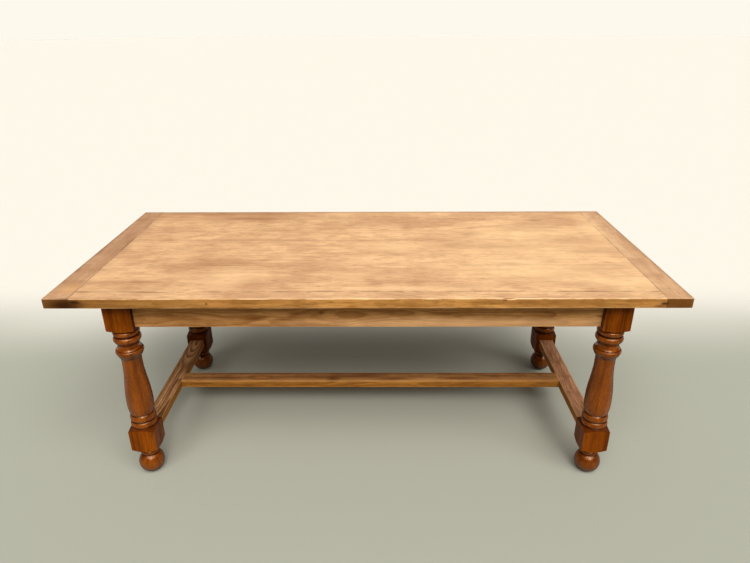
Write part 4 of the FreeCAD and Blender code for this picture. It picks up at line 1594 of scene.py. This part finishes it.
    def dress(self, node: str, count: int) -> bpy.types.Material:
        """Makes the varnished wood of a leg, with painted shade beside the apron and over a back leg.

        Args:
            node: CAD node of the leg.
            count: Place of the leg among the four.

        Returns:
            The material, ready for the leg.
        """
        low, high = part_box(node)
        middle = (low + high) / 2
        corner = Vector((low.x if middle.x > 0 else high.x, low.y if middle.y < 0 else high.y, high.z))
        pith = tuple(start + step * count for start, step in zip(self.pith_start, self.pith_step))
        return WoodSurface(
            name=f"{node}_varnish", box=(low, high), grain=Grain.ALONG_Z, finish=Finish.TURNED_LEG,
            seed=self.figure_seeds[count], pith=pith, hollows=self.hollow_attribute,
            turned=self.turned_attribute, worn=self.worn, worn_share=self.worn_share, dirt_and_shade=self.dirt_and_shade,
            # Painted shadow beside the apron
            stains_or_shades=(StainOrShade(tuple(corner), self.apron_gap_shade_reach, self.apron_gap_shade_depth, self.dirt_and_shade),
                    # Painted shade over the whole leg, for the back legs under the table
                    StainOrShade(tuple(middle), self.back_leg_shade_reach, self.back_leg_shade[count], self.dirt_and_shade))).build()


@dataclass
class TopFastenings:
    """Wooden buttons that hold the top to the aprons, and their slotted round-head screws."""

    buttons: str = "top_buttons"
    button_slot: str = "raw_wood"
    screws: str = "button_screws"
    screw_slot: str = "screw_steel"
    arris: float = 1.0 * MM
    least_edge: float = 3 * MM
    step: float = 1.0
    figure_seed: int = 71
    head_diameter: float = 9 * MM
    head_height: float = 3.4 * MM
    shank_diameter: float = 4.5 * MM
    slot_width: float = 1.3 * MM
    slot_depth: float = 1.6 * MM
    # Shares of a screw's length, and of the radius of its shank and of its head
    tip_share: float = 0.18
    neck_share: float = 0.02
    point_share: float = 0.1
    crown_share: float = 0.05
    facets: int = 24
    dome_steps: int = 7
    seed: int = 5

    def build(self) -> None:
        """Makes and dresses the buttons and the screws."""
        piece = WornBoard(self.buttons, Grain.ALONG_X, self.arris, step=self.step, wander=0,
                          least_edge=self.least_edge).carve()
        WoodSurface(name=f"{self.buttons}_wood", box=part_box(self.buttons), grain=Grain.ALONG_Y,
                    finish=Finish.RAW_WOOD, seed=self.figure_seed, worn_share=0).dress(piece)
        settle(piece, self.buttons, slot=self.button_slot)
        self.build_screws()

    def places(self) -> list[Vector]:
        """Middle of each screw's head, on the underside of its button.

        Returns:
            One place for each loose piece of the CAD node.
        """
        shape = bmesh.new()
        shape.from_mesh(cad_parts[self.screws].data)
        bmesh.ops.remove_doubles(shape, verts=shape.verts[:], dist=MERGE_DISTANCE)
        left = set(shape.verts)
        found = []
        while left:
            island, edge = set(), [left.pop()]
            while edge:
                vert = edge.pop()
                island.add(vert)
                near = {link.other_vert(vert) for link in vert.link_edges} & left
                left -= near
                edge += near
            low = min(island, key=lambda vert: vert.co.z).co
            found.append(low + Vector((0, 0, self.head_height)))
        shape.free()
        return sorted(found, key=lambda spot: (round(spot.x, 4), round(spot.y, 4)))

    def outline(self) -> Outline:
        """Outline of a screw, down from its shank's end to the crown of its head.

        Returns:
            Pairs of height over the head's seat and radius.
        """
        low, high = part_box(self.screws)
        length = high.z - low.z - self.head_height
        tip = self.tip_share * length
        shank = self.shank_diameter / 2
        head = self.head_diameter / 2
        points = [(length, self.point_share * shank), (length - tip, shank),
                  (self.neck_share * length, shank), (0, head)]
        for place in range(1, self.dome_steps):
            angle = math.pi / 2 * place / self.dome_steps
            points.append((-self.head_height * math.sin(angle), head * math.cos(angle)))
        return points + [(-self.head_height, self.crown_share * head)]

    def lathe(self) -> TurningBench:
        """Tree that turns one slotted screw and sets a copy, turned at random, on every point.

        Returns:
            The bench of the tree, with inputs for the places, the slot and the seed.
        """
        bench = TurningBench("slotted_screws", {"Places": "Object", "Slot Size": "Vector",
                                                "Slot Place": "Vector", "Seed": "Int"})
        cutter = bench.run("GeometryNodeMeshCube", {"Size": bench.given["Slot Size"]}, "Mesh")
        screw = bench.cut(bench.turned(), bench.moved(cutter, bench.given["Slot Place"]))
        turns = {"Min": (0, 0, 0), "Max": (0, 0, math.pi), "Seed": bench.given["Seed"]}
        turn = bench.run("FunctionNodeRandomValue", turns, data_type="FLOAT_VECTOR")
        copies = {"Points": bench.mesh_of("Places"), "Instance": screw, "Rotation": turn}
        bench.close(bench.run("GeometryNodeInstanceOnPoints", copies))
        return bench

    def build_screws(self) -> None:
        """Sets a screw in every button."""
        spots = bpy.data.meshes.new("screw_places")
        spots.from_pydata(self.places(), [], [])
        places = new_object("screw_places", spots)
        piece = new_object("button_screws_slotted", TurningBench.line("screw_line", self.outline()))
        self.lathe().work(piece, {
            "Places": places, "Facets": self.facets, "Seed": self.seed, "Material": SteelFinish().build(),
            "Slot Size": (2 * self.head_diameter, self.slot_width, 2 * self.slot_depth),
            "Slot Place": (0, 0, -self.head_height)})
        bpy.data.objects.remove(places)
        settle(piece, self.screws, slot=self.screw_slot)


@dataclass(frozen=True)
class SteelFinish:
    """Dull steel of the screws, with a little rust."""

    RUST_NOISE = ((220, 220, 220), 3)
    RUST_RANGE = (0.48, 0.66)

    bright: Colour = tone(150, 148, 142)
    rusty: Colour = tone(110, 72, 48)
    metallic: float = 0.95
    rusty_metallic: float = 0.15
    roughness: float = 0.42
    rust_dulling: float = 0.3

    def build(self) -> bpy.types.Material:
        """Makes the material.

        Returns:
            The material, ready for the screws.
        """
        material, bench, shader = new_material("button_screws_steel")
        place = bench.add("ShaderNodeTexCoord").outputs["Object"]
        rust = bench.ramp(bench.noise(place, *self.RUST_NOISE), *self.RUST_RANGE)
        loss = self.rusty_metallic - self.metallic
        bench.feed(shader.inputs["Base Color"], bench.blend(rust, self.bright, self.rusty))
        bench.feed(shader.inputs["Metallic"], bench.math("MULTIPLY_ADD", rust, loss, self.metallic))
        dull = bench.math("MULTIPLY_ADD", rust, self.rust_dulling, self.roughness)
        bench.feed(shader.inputs["Roughness"], dull)
        return material


@dataclass
class Studio:
    """Pale floor, soft light and the camera."""

    floor_radius: float = 60.0
    floor_facets: int = 128
    floor_tone: Colour = tone(165, 166, 153)
    far_tone: Colour = tone(227, 223, 213)
    floor_roughness: float = 0.9
    # Paling of the floor: its clouds, where it pales towards the back, and where it is plain
    cloud_scale: Triple = (0.9, 0.9, 0.9)
    cloud_detail: float = 2
    cloud_reach: float = 0.3
    pale_reach: Pair = (0.5, 1.5)
    plain_reach: Pair = (5.0, 16.0)
    backdrop_tone: Colour = tone(254, 249, 237)
    sky_colour: Colour = (1.0, 0.985, 0.955, 1.0)
    horizon_strength: float = 0.02
    zenith_strength: float = 0.5
    overhead: float = 0.3
    window_strength: float = 5.7
    window_heights: tuple[float, float, float, float] = (0.55, 0.66, 0.88, 0.96)
    window_reach: Pair = (0.45, 0.75)
    window_side: float = math.radians(12)
    sun_colour: Triple = (1.0, 0.98, 0.95)
    sun_strength: float = 1.0
    sun_height: float = math.radians(40)
    sun_spread: float = math.radians(14)
    eye: Triple = (0.0424, -2.0887, 1.5553)
    right: Triple = (0.99998, 0.00708, -0.00473)
    up: Triple = (0.00141, 0.40986, 0.91216)
    back: Triple = (0.00839, -0.91212, 0.40983)
    lens: float = 28.116
    sensor: float = 36.0

    def build(self) -> None:
        """Sets up the studio."""
        self.build_floor()
        self.build_sky()
        self.build_window()
        self.build_camera()
        bpy.context.scene.view_settings.view_transform = "Standard"

    def build_floor(self) -> None:
        """Lays a round pale floor that pales towards the back and far away."""
        shape = bmesh.new()
        bmesh.ops.create_circle(shape, cap_ends=True, radius=self.floor_radius, segments=self.floor_facets)
        floor = new_piece("studio_floor", shape)
        material, bench, shader = new_material("studio_floor_paint")
        place = bench.add("ShaderNodeTexCoord").outputs["Object"]
        cloudy = bench.noise(place, self.cloud_scale, self.cloud_detail)
        away = bench.math("MULTIPLY_ADD", cloudy, self.cloud_reach, bench.split(place)[1])
        far = bench.ramp(bench.vector("LENGTH", place), *self.plain_reach)
        pale = bench.math("MAXIMUM", bench.ramp(away, *self.pale_reach), far)
        bench.feed(shader.inputs["Base Color"], bench.blend(pale, self.floor_tone, self.far_tone))
        shader.inputs["Roughness"].default_value = self.floor_roughness
        shader.inputs["Specular IOR Level"].default_value = 0.0
        floor.data.materials.append(material)

    def build_sky(self) -> None:
        """Lights the room from above and from a wide window over the camera, before a pale backdrop."""
        world = bpy.data.worlds.new("studio_sky")
        world.use_nodes = True
        bench = NodeBench(world.node_tree)
        background = next(node for node in world.node_tree.nodes if node.type == "BACKGROUND")
        towards = bench.add("ShaderNodeTexCoord").outputs["Generated"]
        height = bench.split(towards)[2]
        dome = bench.ramp(height, self.overhead, 1.0, self.horizon_strength, self.zenith_strength)
        level = bench.vector("NORMALIZE", bench.vector("MULTIPLY", towards, (1, 1, 0)))
        facing = bench.vector("DOT_PRODUCT", level, self.front)
        sill, bottom, top, lintel = self.window_heights
        over_sill = bench.ramp(height, sill, bottom)
        opening = bench.math("MULTIPLY", over_sill, bench.ramp(height, top, lintel, 1.0, 0.0))
        pane = bench.math("MULTIPLY", opening, bench.ramp(facing, *self.window_reach))
        strength = bench.math("MULTIPLY_ADD", pane, self.window_strength, dome)
        background.inputs["Color"].default_value = self.sky_colour
        bench.feed(background.inputs["Strength"], strength)
        backdrop = bench.run("ShaderNodeBackground", {"Color": self.backdrop_tone})
        seen = bench.add("ShaderNodeMixShader")
        bench.feed(seen.inputs[0], bench.add("ShaderNodeLightPath").outputs["Is Camera Ray"])
        bench.feed(seen.inputs[1], background.outputs[0])
        bench.feed(seen.inputs[2], backdrop)
        output = next(node for node in world.node_tree.nodes if node.type == "OUTPUT_WORLD")
        bench.feed(output.inputs["Surface"], seen.outputs[0])
        bpy.context.scene.world = world

    @property
    def front(self) -> Vector:
        """Level direction from the table to the middle of the window."""
        return Vector((math.sin(self.window_side), -math.cos(self.window_side), 0))

    def build_window(self) -> None:
        """Adds the light that gives the window's shadows their edge."""
        light = bpy.data.lights.new("window_light", "SUN")
        light.energy = self.sun_strength
        light.angle = self.sun_spread
        light.color = self.sun_colour
        lamp = bpy.data.objects.new("window_light", light)
        towards = self.front * math.cos(self.sun_height) + Vector((0, 0, math.sin(self.sun_height)))
        lamp.rotation_euler = towards.to_track_quat("Z", "Y").to_euler()
        bpy.context.scene.collection.objects.link(lamp)

    def build_camera(self) -> None:
        """Sets the camera where the photograph was taken from."""
        data = bpy.data.cameras.new("camera")
        data.lens, data.sensor_width, data.sensor_fit = self.lens, self.sensor, "HORIZONTAL"
        camera = bpy.data.objects.new("camera", data)
        turn = Matrix((self.right, self.up, self.back)).transposed()
        camera.matrix_world = Matrix.Translation(self.eye) @ turn.to_4x4()
        bpy.context.scene.collection.objects.link(camera)
        bpy.context.scene.camera = camera


def main() -> None:
    """Builds the table's looks and the studio, in order."""
    logging.basicConfig(level=logging.INFO, format="%(name)s %(message)s")
    noise.seed_set(NOISE_SEED)
    for assembly in (TurnedLegs(), UnderFrame(), TopFastenings(), PlankedTop(), Studio()):
        assembly.build()
        LOG.info("%s done", type(assembly).__name__)


if __name__ == "__main__":
    main()
